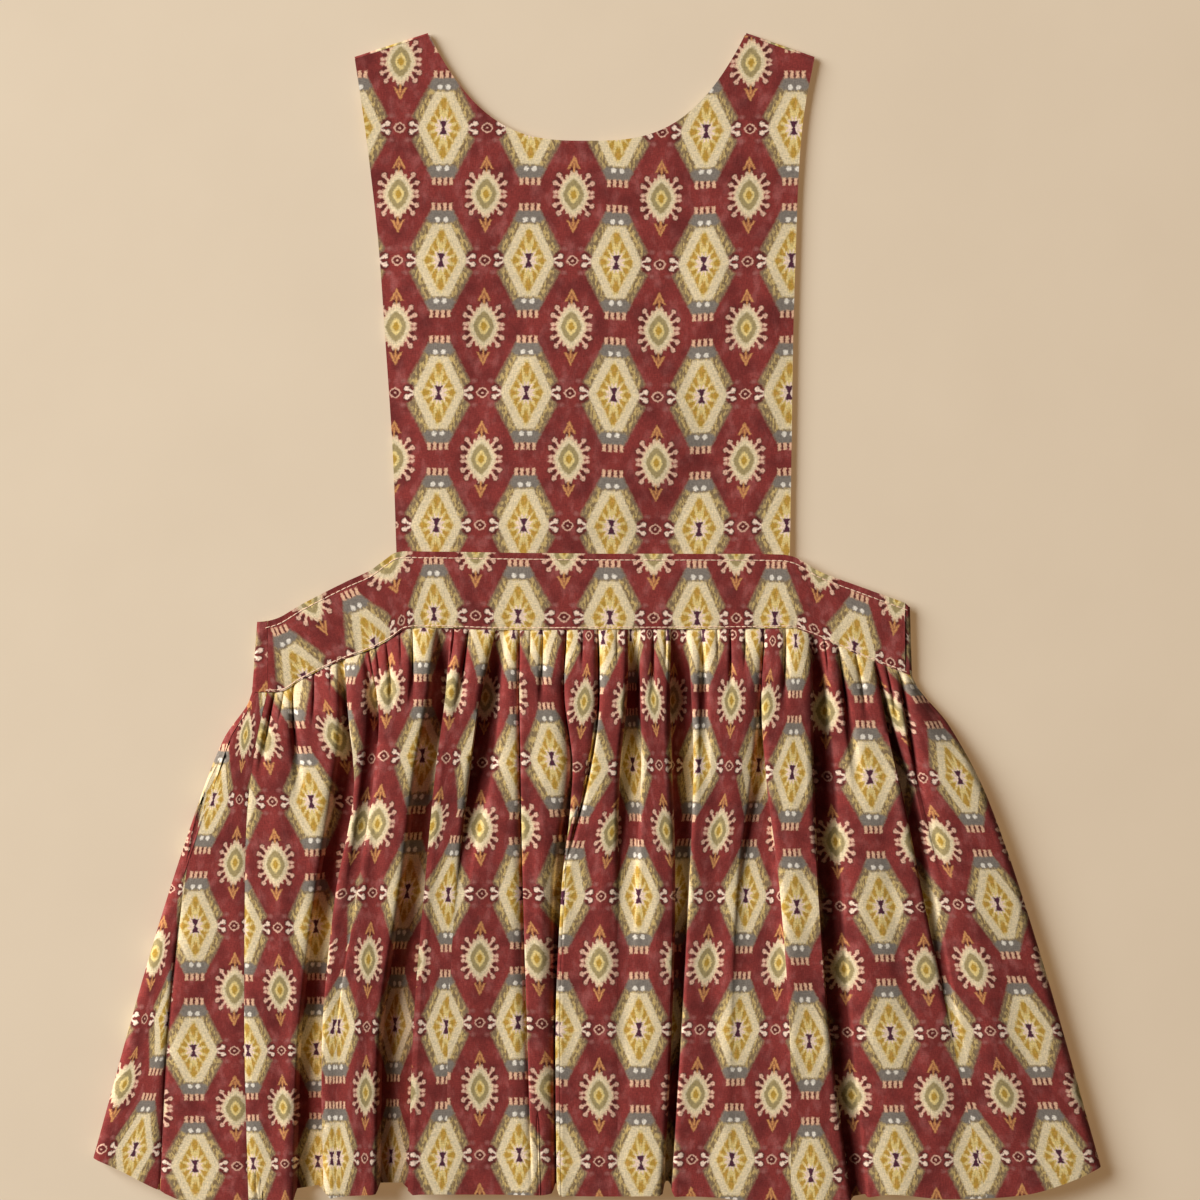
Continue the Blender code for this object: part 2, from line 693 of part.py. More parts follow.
def skirt_grid(places):
    """Rows of the skirt from a function that gives each level's columns as (x, height, on the front).

    Each column's cloth hangs from its own point on the band to its own point on the hem.
    """
    top = places(0.0)
    foot = places(1.0)
    rows = []
    for level in LEVELS:
        row = []
        for column, (x, z, on_front) in enumerate(places(level)):
            edge = band_lower_edge if on_front else back_band_lower_edge
            seam_y = below_seam(edge, top[column][0])
            hem_y = hem_height(foot[column][0], on_front)
            row.append(Vector((x, mix(seam_y, hem_y, level), z)))
        rows.append(row)
    return rows


def upper_columns(first, last, level, start_shift, end_shift):
    """Columns of the upper layer between two of its lines, moved clear of the seam at either end."""
    nominal = []
    for index in range(first, last):
        nominal += columns_between(LINES[index], LINES[index + 1], level)
    nominal[0] += start_shift
    nominal.append(LINES[last].place(level) + end_shift)
    return [(*upper_point(x, level), True) for x in nominal]


SEAM_LINE = LINES.index(LONG_LINES[1 + SEAM_FOLD])


def skirt_back_places(level):
    """Columns of the skirt's back: from the right seam under the garment, round the left, to the seam."""
    left_edge = smooth_line(EDGE_LEVELS, LEFT_EDGE, level) + OUTLINE_INSET
    turn = side_turn(left_edge, side_radius(level), -1, SIDE_TURN_STEPS)
    floor_start = smooth_line(EDGE_LEVELS, RIGHT_EDGE, level) - OUTLINE_INSET - side_radius(level)
    floor_start -= RIGHT_FLAP + SEAM_GAP
    floor_end = turn[-1][0]
    columns = []
    for column in range(FLOOR_COLUMNS):
        columns.append((mix(floor_start, floor_end, column / FLOOR_COLUMNS), LIES_LOW, False))
    for x, height in reversed(turn[1:]):
        columns.append((x, LIES_LOW + height, height > side_radius(level)))
    return columns + upper_columns(0, SEAM_LINE, level, 0.0, -SEAM_GAP / 2)


def skirt_front_places(level):
    """Columns of the skirt's front: from the left seam, round the right edge, to the right seam."""
    right_edge = smooth_line(EDGE_LEVELS, RIGHT_EDGE, level) - OUTLINE_INSET
    turn = side_turn(right_edge, side_radius(level), 1, SIDE_TURN_STEPS)
    columns = upper_columns(SEAM_LINE, len(LINES) - 1, level, SEAM_GAP / 2, 0.0)
    for x, height in turn[1:]:
        columns.append((x, LIES_LOW + height, height > side_radius(level)))
    flap_start = turn[-1][0]
    for share in (0.5, 1.0):
        columns.append((flap_start - RIGHT_FLAP * share, LIES_LOW, False))
    return columns


def main():
    """Clear the scene and make the seven pieces of cloth."""
    for item in list(bpy.data.objects):
        bpy.data.objects.remove(item, do_unlink=True)
    bib_front()
    for shoulder in SHOULDERS:
        back_strap(shoulder)
    waistband_front()
    waistband_back()
    cloth_wall("skirt_front", skirt_grid(skirt_front_places), BURGUNDY, sewn_start=True)
    cloth_wall("skirt_back", skirt_grid(skirt_back_places), BURGUNDY, sewn_start=True)


main()
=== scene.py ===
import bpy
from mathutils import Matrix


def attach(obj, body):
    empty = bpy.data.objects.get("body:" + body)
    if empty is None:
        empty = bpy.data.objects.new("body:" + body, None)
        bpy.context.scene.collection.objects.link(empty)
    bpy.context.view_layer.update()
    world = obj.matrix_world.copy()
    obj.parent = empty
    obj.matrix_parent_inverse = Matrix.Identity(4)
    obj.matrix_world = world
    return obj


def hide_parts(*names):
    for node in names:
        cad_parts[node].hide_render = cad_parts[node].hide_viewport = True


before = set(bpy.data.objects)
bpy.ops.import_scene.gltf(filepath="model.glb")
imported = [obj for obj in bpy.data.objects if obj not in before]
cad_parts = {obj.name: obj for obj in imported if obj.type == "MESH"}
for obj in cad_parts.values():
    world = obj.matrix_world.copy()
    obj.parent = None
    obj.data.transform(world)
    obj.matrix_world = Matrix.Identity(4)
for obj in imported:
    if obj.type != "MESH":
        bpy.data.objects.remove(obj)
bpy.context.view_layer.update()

"""Looks of a child's pinafore dress laid flat: the printed cotton, its folds and its topstitching.

The garment lies on z = 0 with +Y towards the shoulders. Tables and sizes are in millimetres and become metres
when a mesh is made. Each piece of cloth is a wall around a grid of points in its middle, and carries a UV map
that counts the repeats of its print, so that the print follows the cloth into its folds.
"""
import logging
import math
from dataclasses import dataclass, field
from enum import Enum
from functools import partial, reduce
from typing import Callable, Sequence

import bpy
import numpy as np
from mathutils import Vector

log = logging.getLogger("pinafore")

MM = 0.001
PRINT_MAP = "print_repeats"
SHARP_ANGLE = math.radians(70)

# Heights of the cloth's middle in each layer, as the layers lie on each other.
LIES_LOW = 0.6
LIES_SECOND = 2.1
LIES_THIRD = 3.6
OUTLINE_INSET = 0.6

# One repeat of the print on the cloth, in millimetres across and down.
REPEAT_ACROSS = 42.0
REPEAT_DOWN = 63.5


class Slot(Enum):
    """Names of the record's material slots, one for each kind of piece."""

    BIB = "bib_cotton"
    STRAP = "strap_cotton"
    BAND = "band_cotton"
    SKIRT = "skirt_cotton"


class Lies(Enum):
    """How a sheet of cloth is held."""

    LAID = "laid"
    GATHERED = "gathered"
    FOLDED = "folded"


# Curves and steps -------------------------------------------------------------------------------------------

Numbers = float | np.ndarray


def mix(start: Numbers, end: Numbers, share: Numbers) -> Numbers:
    """Value a share of the way from start to end."""
    return start + (end - start) * share


def ease(share: Numbers) -> np.ndarray:
    """Smooth step from 0 to 1, held at both ends."""
    held = np.clip(share, 0.0, 1.0)
    return held * held * (3 - 2 * held)


def smooth_line(knots: Sequence[float], values: Sequence[float], where: Numbers) -> np.ndarray:
    """Read a smooth curve through knots.

    Args:
        knots: Places of the knots, rising.
        values: Value at each knot.
        where: Place or places to read, held at both ends.

    Returns:
        The values there, in the shape of where.
    """
    places = np.asarray(knots, float)
    heights = np.asarray(values, float)
    last = len(places) - 1
    before, after = np.maximum(np.arange(last + 1) - 1, 0), np.minimum(np.arange(last + 1) + 1, last)
    slopes = (heights[after] - heights[before]) / (places[after] - places[before])
    held = np.clip(np.asarray(where, float), places[0], places[-1])
    index = np.clip(np.searchsorted(places, held, side="right") - 1, 0, last - 1)
    run = places[index + 1] - places[index]
    share = (held - places[index]) / run
    rest = 1 - share
    return (
        (1 + 2 * share) * rest * rest * heights[index]
        + share * share * (3 - 2 * share) * heights[index + 1]
        + share * rest * rest * run * slopes[index]
        - share * share * rest * run * slopes[index + 1]
    )


def unit(vectors: np.ndarray) -> np.ndarray:
    """Vectors of length one, along the last axis."""
    length = np.linalg.norm(vectors, axis=-1, keepdims=True)
    return vectors / np.maximum(length, 1e-9)


def run_directions(points: np.ndarray, axis: int) -> np.ndarray:
    """Directions of a grid's lines at its points, each the mean of the runs on both sides.

    Args:
        points: Grid of points, rows by columns by 3.
        axis: 0 for the lines down the columns, 1 for those along the rows.

    Returns:
        Direction vectors, in the grid's shape.
    """
    runs = unit(np.diff(points, axis=axis))
    total = np.zeros_like(points)
    for part in (slice(0, -1), slice(1, None)):
        total[(slice(None),) * axis + (part,)] += runs
    return total


# Cloth ------------------------------------------------------------------------------------------------------

@dataclass
class ClothGrid:
    """The middle of one piece of cloth, as a grid of points with its place in the print.

    Seen from the outside of the cloth, a row runs to the right and the rows follow each other downwards.

    Attributes:
        points: Rows by columns by 3, in millimetres.
        print_at: Rows by columns by 2, place in the print for the cloth to the right of each column.
        print_before: The same for the cloth to the left of each column; it differs only at a deep fold.
        thickness: Thickness of the cloth in millimetres.
    """

    points: np.ndarray
    print_at: np.ndarray
    print_before: np.ndarray
    thickness: float = 0.9

    def mesh(self, name: str) -> bpy.types.Mesh:
        """Make the closed wall.

        Args:
            name: Name of the mesh.

        Returns:
            The mesh in metres, with its print map.
        """
        rows, columns = self.points.shape[:2]
        outward = unit(np.cross(run_directions(self.points, 0), run_directions(self.points, 1)))
        half = outward * (self.thickness / 2)
        corners = np.concatenate([(self.points + half).reshape(-1, 3), (self.points - half).reshape(-1, 3)])
        count = rows * columns
        spots = np.arange(count).reshape(rows, columns)
        first, below = spots[:-1, :-1].ravel(), spots[1:, :-1].ravel()
        faces = [
            np.stack([first, below, below + 1, first + 1], 1),
            np.stack([first, first + 1, below + 1, below], 1) + count,
        ]
        for edge in (spots[0], spots[-1, ::-1], spots[::-1, 0], spots[:, -1]):
            faces.append(np.stack([edge[:-1], edge[1:], edge[1:] + count, edge[:-1] + count], 1))
        faces = np.concatenate(faces)
        mesh = bpy.data.meshes.new(name)
        mesh.from_pydata((corners * MM).tolist(), [], faces.tolist())
        self._write_print_map(mesh, faces, columns, count)
        mesh.shade_smooth()
        mesh.set_sharp_from_angle(angle=SHARP_ANGLE)
        return mesh

    def _write_print_map(self, mesh: bpy.types.Mesh, faces: np.ndarray, columns: int, count: int) -> None:
        """Write the print's place at each face corner.

        Args:
            mesh: Mesh to write to.
            faces: Corner indices of each face, four a face.
            columns: Number of columns in the grid.
            count: Number of points in the grid.
        """
        after, before = self.print_at.reshape(-1, 2), self.print_before.reshape(-1, 2)
        spots = faces % count
        column = spots % columns
        is_right = column > column.min(axis=1, keepdims=True)
        values = np.where(is_right[..., None], before[spots], after[spots])
        layer = mesh.uv_layers.new(name=PRINT_MAP)
        layer.data.foreach_set("uv", values.reshape(-1).astype(np.float32))


def show(name: str, data: bpy.types.ID) -> bpy.types.Object:
    """Put a mesh, curve, light or camera in the scene.

    Args:
        name: Name of the new object.
        data: What it shows.

    Returns:
        The object.
    """
    item = bpy.data.objects.new(name, data)
    bpy.context.scene.collection.objects.link(item)
    return item


@dataclass(frozen=True)
class Cut:
    """How the cloth of a piece was cut and lies.

    Attributes:
        node: CAD node that the piece stands for.
        slot: Material slot of the record; not used.
        flat: Width and length of the cut, in metres; not used.
        lies: How it is held; not used.
        rests_on: CAD nodes of the pieces that it lies on; not used.
        area: Flat area of the cut in square metres, or None for a rectangle; not used.
    """

    node: str
    slot: Slot
    flat: tuple[float, float]
    lies: Lies
    rests_on: tuple[str, ...] = ()
    area: float | None = None

    def place(self, cloth: ClothGrid, material: bpy.types.Material) -> None:
        """Args:
            cloth: Its cloth, in place.
            material: Its finish.
        """
        name = self.node + "_cloth"
        mesh = cloth.mesh(name)
        mesh.materials.append(material)
        item = show(name, mesh)
        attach(item, "root")
        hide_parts(self.node)
        rests_on = [node + "_cloth" for node in self.rests_on]
        log.info("%s: %d faces for %s", name, len(mesh.polygons), self.node)


# Print and finishes -----------------------------------------------------------------------------------------

Colour = tuple[float, float, float]
Ink = Colour | bpy.types.NodeSocket


def feed(node: bpy.types.Node, inputs: dict) -> None:
    """Set or link inputs of a node.

    Args:
        node: The node.
        inputs: A value, socket or measure for each input, by name or number.
    """
    for label, value in inputs.items():
        source = getattr(value, "socket", value)
        if isinstance(source, bpy.types.NodeSocket):
            node.id_data.links.new(source, node.inputs[label])
        else:
            node.inputs[label].default_value = source


def add_node(tree: bpy.types.NodeTree, kind: str, inputs: dict, **settings: object) -> bpy.types.Node:
    """Add a node to a tree.

    Args:
        tree: The tree.
        kind: Blender's name for the node.
        inputs: What goes into it, as for feed.
        **settings: Its other properties.

    Returns:
        The node.
    """
    node = tree.nodes.new(kind)
    for label, value in settings.items():
        setattr(node, label, value)
    feed(node, inputs)
    return node


def new_finish(name: str) -> tuple[bpy.types.Material, bpy.types.NodeTree, bpy.types.Node]:
    """Start a material.

    Args:
        name: Its name.

    Returns:
        The material, its tree and its shader.
    """
    material = bpy.data.materials.new(name)
    material.use_nodes = True
    return material, material.node_tree, material.node_tree.nodes["Principled BSDF"]


class Measure:
    """A number that varies over the cloth, held as a socket of a material's node tree."""

    def __init__(self, tree: bpy.types.NodeTree, socket: bpy.types.NodeSocket) -> None:
        """Keep the tree and the socket that gives the number."""
        self.tree = tree
        self.socket = socket

    def combine(self, operation: str, *values: "Measure | float", clamp: bool = False) -> "Measure":
        """Add a Math node.

        Args:
            operation: Its operation.
            *values: Its inputs in order.
            clamp: Whether the result is held from 0 to 1.

        Returns:
            The node's result.
        """
        sources = dict(enumerate(values))
        node = add_node(self.tree, "ShaderNodeMath", sources, operation=operation, use_clamp=clamp)
        return Measure(self.tree, node.outputs[0])

    def __add__(self, other: "Measure | float") -> "Measure":
        """Sum."""
        return self.combine("ADD", self, other)

    def __sub__(self, other: "Measure | float") -> "Measure":
        """Difference."""
        return self.combine("SUBTRACT", self, other)

    def __rsub__(self, other: float) -> "Measure":
        """Difference from a plain number."""
        return self.combine("SUBTRACT", other, self)

    def __mul__(self, other: "Measure | float") -> "Measure":
        """Product."""
        return self.combine("MULTIPLY", self, other)

    def __abs__(self) -> "Measure":
        """Size without its sign."""
        return self.combine("ABSOLUTE", self)

    def fraction(self) -> "Measure":
        """What is left after the whole number."""
        return self.combine("FRACT", self)

    def most(self, *others: "Measure | float") -> "Measure":
        """The largest of this and the others."""
        return reduce(lambda first, second: first.combine("MAXIMUM", first, second), others, self)

    def least(self, *others: "Measure | float") -> "Measure":
        """The smallest of this and the others."""
        return reduce(lambda first, second: first.combine("MINIMUM", first, second), others, self)

    def wave(self, times: float) -> "Measure":
        """Cosine of this angle multiplied by a number."""
        return self.combine("COSINE", self * times)

    def from_centre(self, other: "Measure") -> "Measure":
        """Distance from the centre of two measures at right angles."""
        return self.combine("SQRT", self * self + other * other)

    def angle(self, across: "Measure") -> "Measure":
        """Angle of the point whose height is this and whose place across is the other measure."""
        return self.combine("ARCTAN2", self, across)

    def within(self, softness: float) -> "Measure":
        """Share of ink, from 1 inside to 0 outside this distance from an outline, fading over a width."""
        return self.combine("MULTIPLY_ADD", self, -1 / softness, 0.5, clamp=True)


def slanted(across: Measure, down: Measure, tip: tuple[float, float], end: tuple[float, float]) -> Measure:
    """Distance beyond the straight line through two points, on the side away from the centre.

    Args:
        across: Place across, not below zero.
        down: Place down, not below zero.
        tip: A point on the line.
        end: Another point on it, nearer the middle across and farther down.

    Returns:
        The distance, below zero on the centre's side.
    """
    run = Vector((end[0] - tip[0], end[1] - tip[1])).normalized()
    normal = Vector((run.y, -run.x))
    return across * normal.x + (down * normal.y - (tip[0] * normal.x + tip[1] * normal.y))


@dataclass(frozen=True)
class KilimInks:
    """Colours of the print, as linear red, green and blue."""

    ground: Colour = (0.250, 0.036, 0.031)
    shade: Colour = (0.125, 0.017, 0.016)
    rosy: Colour = (0.345, 0.088, 0.080)
    brown: Colour = (0.085, 0.016, 0.014)
    olive: Colour = (0.245, 0.165, 0.082)
    ochre: Colour = (0.600, 0.430, 0.170)
    umber: Colour = (0.215, 0.145, 0.098)
    slate: Colour = (0.225, 0.190, 0.160)
    cream: Colour = (0.780, 0.640, 0.410)
    blush: Colour = (0.800, 0.560, 0.370)
    straw: Colour = (0.790, 0.610, 0.250)
    mustard: Colour = (0.500, 0.300, 0.045)
    amber: Colour = (0.600, 0.300, 0.070)
    petal: Colour = (0.900, 0.680, 0.540)
    chalk: Colour = (0.830, 0.760, 0.660)
    plum: Colour = (0.085, 0.020, 0.040)
    peach: Colour = (0.800, 0.480, 0.310)
    orange: Colour = (0.610, 0.280, 0.100)
    sage: Colour = (0.370, 0.285, 0.130)
    pink: Colour = (0.760, 0.460, 0.335)
    mauve: Colour = (0.340, 0.125, 0.110)


@dataclass(frozen=True)
class KilimCotton:
    """Printed cotton: rows of long hexagon medallions with small star lozenges between them.

    Attributes:
        inks: Colours of the print.
        across: Units of the print in one repeat across, each about half a millimetre.
        down: Units in one repeat down.
        softness: Width over which one ink fades into the next, in units.
        raggedness: How far the weave breaks the outlines, in units.
        roughness: Roughness of the dry cotton.
        gloss: Specular level.
        sheen: Weight of the fuzz, and its roughness.
        petals: Petals in a medallion's flower.
        rays: Rays round a star.
        thread: Distance from one thread to the next, in units.
        bump: Depth of the weave in millimetres, and its strength.
    """

    inks: KilimInks = KilimInks()
    across: float = 88.0
    down: float = 132.0
    softness: float = 1.3
    raggedness: float = 1.5
    roughness: float = 0.86
    gloss: float = 0.18
    sheen: tuple[float, float] = (0.05, 0.5)
    petals: float = 12.0
    rays: float = 20.0
    thread: float = 1.1
    bump: tuple[float, float] = (0.25, 0.55)

    def material(self, name: str) -> bpy.types.Material:
        """Build the finish.

        Args:
            name: Name of the material.

        Returns:
            The material.
        """
        material, tree, shader = new_finish(name)
        drawing = KilimDrawing(self, tree)
        feed(shader, {
            "Base Color": drawing.colours(), "Roughness": self.roughness, "Specular IOR Level": self.gloss,
            "Sheen Weight": self.sheen[0], "Sheen Roughness": self.sheen[1], "Normal": drawing.weave(),
        })
        return material


class KilimDrawing:
    """The print of one material while it is drawn, ink over ink. Its measures are in units of the print."""

    def __init__(self, cotton: KilimCotton, tree: bpy.types.NodeTree) -> None:
        """Find the place in the print, on outlines that the weave breaks a little.

        Args:
            cotton: Sizes and inks of the print.
            tree: The material's tree.
        """
        self.cotton = cotton
        self.tree = tree
        place = add_node(tree, "ShaderNodeUVMap", {}, uv_map=PRINT_MAP)
        repeats = self.parts(place.outputs["UV"])
        sizes = (cotton.across, cotton.down)
        self.units = [repeat * size for repeat, size in zip(repeats, sizes)]
        ragged = self.parts(self.noise(0.45, 1.0).outputs["Color"])
        shakes = [(part - 0.5) * cotton.raggedness * 2 for part in ragged]
        axes = list(zip(repeats, sizes, shakes))
        self.cell = [((repeat + 0.5).fraction() - 0.5) * size + shake for repeat, size, shake in axes]
        self.star = [(repeat.fraction() - 0.5) * size + shake for repeat, size, shake in axes]
        self.colour: Ink = cotton.inks.ground

    def parts(self, vector: bpy.types.NodeSocket) -> list[Measure]:
        """Parts across and down of a vector."""
        node = add_node(self.tree, "ShaderNodeSeparateXYZ", {0: vector})
        return [Measure(self.tree, node.outputs[axis]) for axis in (0, 1)]

    def noise(self, scale: float, detail: float, stretch: tuple[float, float] = (1.0, 1.0)) -> bpy.types.Node:
        """Noise over the cloth.

        Args:
            scale: Noise cells in one unit.
            detail: Detail of the noise.
            stretch: Factors on the place across and down.

        Returns:
            The noise node.
        """
        place = [part * factor for part, factor in zip(self.units, stretch)]
        join = add_node(self.tree, "ShaderNodeCombineXYZ", dict(enumerate(place)))
        inputs = {"Scale": scale, "Detail": detail, "Vector": join.outputs[0]}
        return add_node(self.tree, "ShaderNodeTexNoise", inputs)

    def speckle(self, scale: float, detail: float, stretch: tuple[float, float]) -> Measure:
        """Strength of such noise."""
        return Measure(self.tree, self.noise(scale, detail, stretch).outputs["Fac"])

    def blend(self, base: Ink, ink: Ink, share: Measure) -> bpy.types.NodeSocket:
        """Cover one colour with another.

        Args:
            base: The colour below.
            ink: The colour laid over it.
            share: How much it covers.

        Returns:
            The mixed colour.
        """
        both = [part if isinstance(part, bpy.types.NodeSocket) else (*part, 1.0) for part in (base, ink)]
        inputs = {0: share, 6: both[0], 7: both[1]}
        return add_node(self.tree, "ShaderNodeMix", inputs, data_type="RGBA").outputs[2]

    def lay(self, ink: Ink, outline: Measure, fade: float = 1.0, share: float = 1.0) -> None:
        """Lay an ink over the print so far.

        Args:
            ink: Its colour or socket.
            outline: Distance from its outline, below zero inside.
            fade: How many times softer than usual its edge is.
            share: How much it covers.
        """
        mask = outline.within(self.cotton.softness * fade)
        self.colour = self.blend(self.colour, ink, mask * share if share < 1 else mask)

    def colours(self) -> bpy.types.NodeSocket:
        """Draw the whole print from its ground up.

        Returns:
            Its colour.
        """
        inks = self.cotton.inks
        cloud = self.speckle(0.09, 3.0, (1.0, 0.6))
        self.colour = self.blend(self.colour, inks.rosy, (0.60 - cloud).within(0.22))
        blotch = self.speckle(0.035, 2.0, (1.0, 1.0))
        self.colour = self.blend(self.colour, inks.shade, (0.56 - blotch).within(0.26) * 0.75)
        self.draw_medallion()
        self.draw_joins()
        self.draw_star()
        return self.uneven()

    def draw_medallion(self) -> None:
        """Draw the long hexagon with its caps, lozenge, flecks and flower."""
        inks = self.cotton.inks
        wide, high = (abs(part) for part in self.cell)
        notch = (wide - 25.0) * 0.68 - (high - 5.0) * 0.73
        outline = slanted(wide, high, (31.0, 13.0), (10.8, 50.0)).most(wide - 31.5, high - 50.0, notch)
        strokes = self.speckle(0.36, 2.0, (1.0, 0.5))
        grain = (strokes - 0.5) * 4.0
        flecks = self.blend(inks.olive, inks.ochre, (0.51 - strokes).within(0.12))
        self.lay(self.blend(flecks, inks.umber, (-2.8 - outline).within(4.4) * 0.7), outline, 2.2)
        cap = outline.most(37.4 - high, wide * 0.9 + 27.4 - high)
        self.lay(inks.slate, cap, 2.4)
        lozenge = slanted(wide, high, (26.4, 0.0), (9.0, 36.0)).most(high - 36.0)
        self.lay(inks.cream, lozenge, 1.6)
        inner = slanted(wide, high, (17.6, 0.0), (0.0, 34.5))
        self.lay(inks.straw, (inner + grain).most(high - 32.5), 3.0)
        spokes = self.cell[1].angle(self.cell[0] * 1.4).wave(self.cotton.petals)
        ring = (abs(inner + 3.9) - 3.4).most(high - 30.0)
        petals = ring.most((-0.35 - spokes) * 1.7 - (inner + 4.0) * 0.3) + grain * 0.6
        self.lay(self.blend(inks.mustard, inks.amber, (0.50 - strokes).within(0.14) * 0.45), petals, 1.4)
        burst = (wide * 1.3).from_centre(high) + spokes * 2.4 + grain * 0.5 - 9.4
        self.lay(inks.petal, burst, 2.0)
        figure = (wide - (high * 0.42 + 1.1)).most(high - 7.0)
        self.lay(inks.plum, figure)
        dots = (wide - 4.1).from_centre(high - 40.6) - 2.5
        self.lay(inks.chalk, dots)
        gaps = (wide - 10.6).most(abs(high - 52.6) - 2.6)
        self.lay(inks.brown, gaps, share=0.7)
        comb = (abs(abs(wide - 5.8) - 2.9) - 1.7).most(abs(high - 53.3) - 3.6, wide - 11.2)
        self.lay(inks.peach, comb)

    def draw_joins(self) -> None:
        """Draw the pairs of drops at the medallions' sides, and the ring and faint dots between them."""
        inks = self.cotton.inks
        wide, high = (abs(part) for part in self.cell)
        away = abs(self.star[0])
        head = (wide - 32.0).from_centre(high - 4.2) - 2.5
        stem = (abs(high - (wide - 26.0) * 0.45 - 1.5) - 1.2).most(abs(wide - 28.6) - 3.2)
        drops = head.least(stem)
        dark = (drops - 1.6).least((wide - 30.0).from_centre((high - 6.5) * 1.6) - 3.6)
        self.lay(inks.brown, dark.most(25.6 - wide), 1.5, 0.8)
        self.lay(inks.petal, drops)
        ring = away.from_centre(high * 1.15) * 0.6 + (away + high * 1.15) * 0.32
        self.lay(inks.shade, ring - 4.6)
        self.lay(inks.pink, abs(ring - 5.0) - 0.75)
        self.lay(inks.pink, ring - 1.2)
        faint = ((away - 8.3) * 0.75).from_centre(high - 12.1) - 1.9
        self.lay(inks.mauve, faint, 2.0, 0.8)

    def draw_star(self) -> None:
        """Draw the star lozenge with its rings, rays, drops and arrowheads."""
        inks = self.cotton.inks
        wide, high = (abs(part) for part in self.star)
        squat = high * 0.68
        size = wide.from_centre(squat) * 0.55 + (wide + squat) * 0.33
        roof = wide * 0.89 + (high - 36.5) * 0.456
        self.lay(inks.orange, roof.most(27.0 - high), share=0.35)
        arrow = (abs(roof) - 1.0).most(25.6 - high, high - 38.0)
        shaft = (wide - 0.9).most(abs(high - 25.0) - 6.0)
        self.lay(inks.brown, (wide - 3.6).most(abs(high - 23.5) - 3.5), 2.4)
        self.lay(inks.orange, arrow.least(shaft))
        corner = (wide - 14.6).from_centre(high - 19.0) - 2.4
        flank = (wide - 18.6).from_centre(high - 11.2) - 2.4
        knobs = corner.least(flank)
        point = ((wide - 18.4) * 0.7).from_centre(abs(high - 2.2) - 0.2) - 1.6
        stalks = (abs(wide - high * 0.78) - 1.5).least(abs(wide * 0.52 - high + 1.7) - 1.3)
        stalks = stalks.most(wide - 19.0, high - 18.5, 7.0 - wide)
        gap = (wide - 15.4).from_centre(high - 13.4) - 3.2
        below = (wide - 16.4).from_centre((high - 6.6) * 1.4) - 2.6
        self.lay(inks.brown, gap.least(below, knobs - 0.8), 1.6, 0.85)
        self.lay(inks.pink, knobs.least(point, stalks))
        self.lay(inks.shade, knobs + 2.1, share=0.7)
        around = self.star[1].angle(self.star[0] * 1.3)
        self.lay(inks.blush, size + around.wave(self.cotton.rays) * 0.9 - 14.2, 1.3)
        for ink, edge, fade in (
            (inks.cream, 12.4, 1.6), (inks.sage, 9.3, 1.2), (inks.straw, 5.2, 1.0), (inks.mustard, 2.9, 1.0),
        ):
            self.lay(ink, size - edge, fade)

    def uneven(self) -> bpy.types.NodeSocket:
        """The print with its colour varied thread by thread, as yarn takes up ink unevenly.

        Returns:
            The colour.
        """
        warp, weft = (self.speckle(0.9, 1.5, stretch) for stretch in ((1.0, 0.28), (0.28, 1.0)))
        amount = (warp + weft - 1.0) * 0.75 + 1.0
        node = add_node(self.tree, "ShaderNodeVectorMath", {}, operation="SCALE")
        feed(node, {0: self.colour, "Scale": amount})
        return node.outputs[0]

    def weave(self) -> bpy.types.NodeSocket:
        """Plain weave with slubs, as bump.

        Returns:
            The normal.
        """
        warp, weft = (part.wave(2 * math.pi / self.cotton.thread) for part in self.units)
        height = warp * weft * 0.35 + self.speckle(0.5, 2.0, (1.0, 0.4))
        depth, strength = self.cotton.bump
        inputs = {"Strength": strength, "Distance": depth * MM, "Height": height}
        return add_node(self.tree, "ShaderNodeBump", inputs).outputs[0]


@dataclass(frozen=True)
class PlainFinish:
    """A matt finish of one colour with a slight mottle.

    Attributes:
        colour: Linear colour.
        mottle: Share by which it varies.
        grain: Mottle cells in a metre.
        roughness: Its roughness.
        bump: Depth of the grain in millimetres.
        glow: Light that it gives of itself.
    """

    colour: Colour
    mottle: float
    grain: float
    roughness: float
    # glow: Painted light: a glow that it gives of itself, though it is no lamp.
    bump: float
    glow: Colour | None = None

    def material(self, name: str) -> bpy.types.Material:
        """Build the finish.

        Args:
            name: Name of the material.

        Returns:
            The material.
        """
        material, tree, shader = new_finish(name)
        place = add_node(tree, "ShaderNodeTexCoord", {}).outputs["Object"]
        noise = add_node(tree, "ShaderNodeTexNoise", {"Scale": self.grain, "Detail": 3.0, "Vector": place})
        ramp = add_node(tree, "ShaderNodeValToRGB", {0: noise.outputs["Fac"]})
        for stop, position, change in zip(ramp.color_ramp.elements, (0.3, 0.7), (-self.mottle, self.mottle)):
            stop.position = position
            stop.color = (*(part * (1 + change) for part in self.colour), 1.0)
        bump = add_node(tree, "ShaderNodeBump", {
            "Strength": 0.5, "Distance": self.bump * MM, "Height": noise.outputs["Fac"],
        })
        feed(shader, {"Base Color": ramp.outputs[0], "Roughness": self.roughness, "Normal": bump.outputs[0]})
        # painted light: an emitted glow, which lifts and warms the shadows cast on the surface
        if self.glow:
            feed(shader, {"Emission Color": (*self.glow, 1.0), "Emission Strength": 1.0})
        return material


# Bib and straps ---------------------------------------------------------------------------------------------

Place = tuple[float, float]


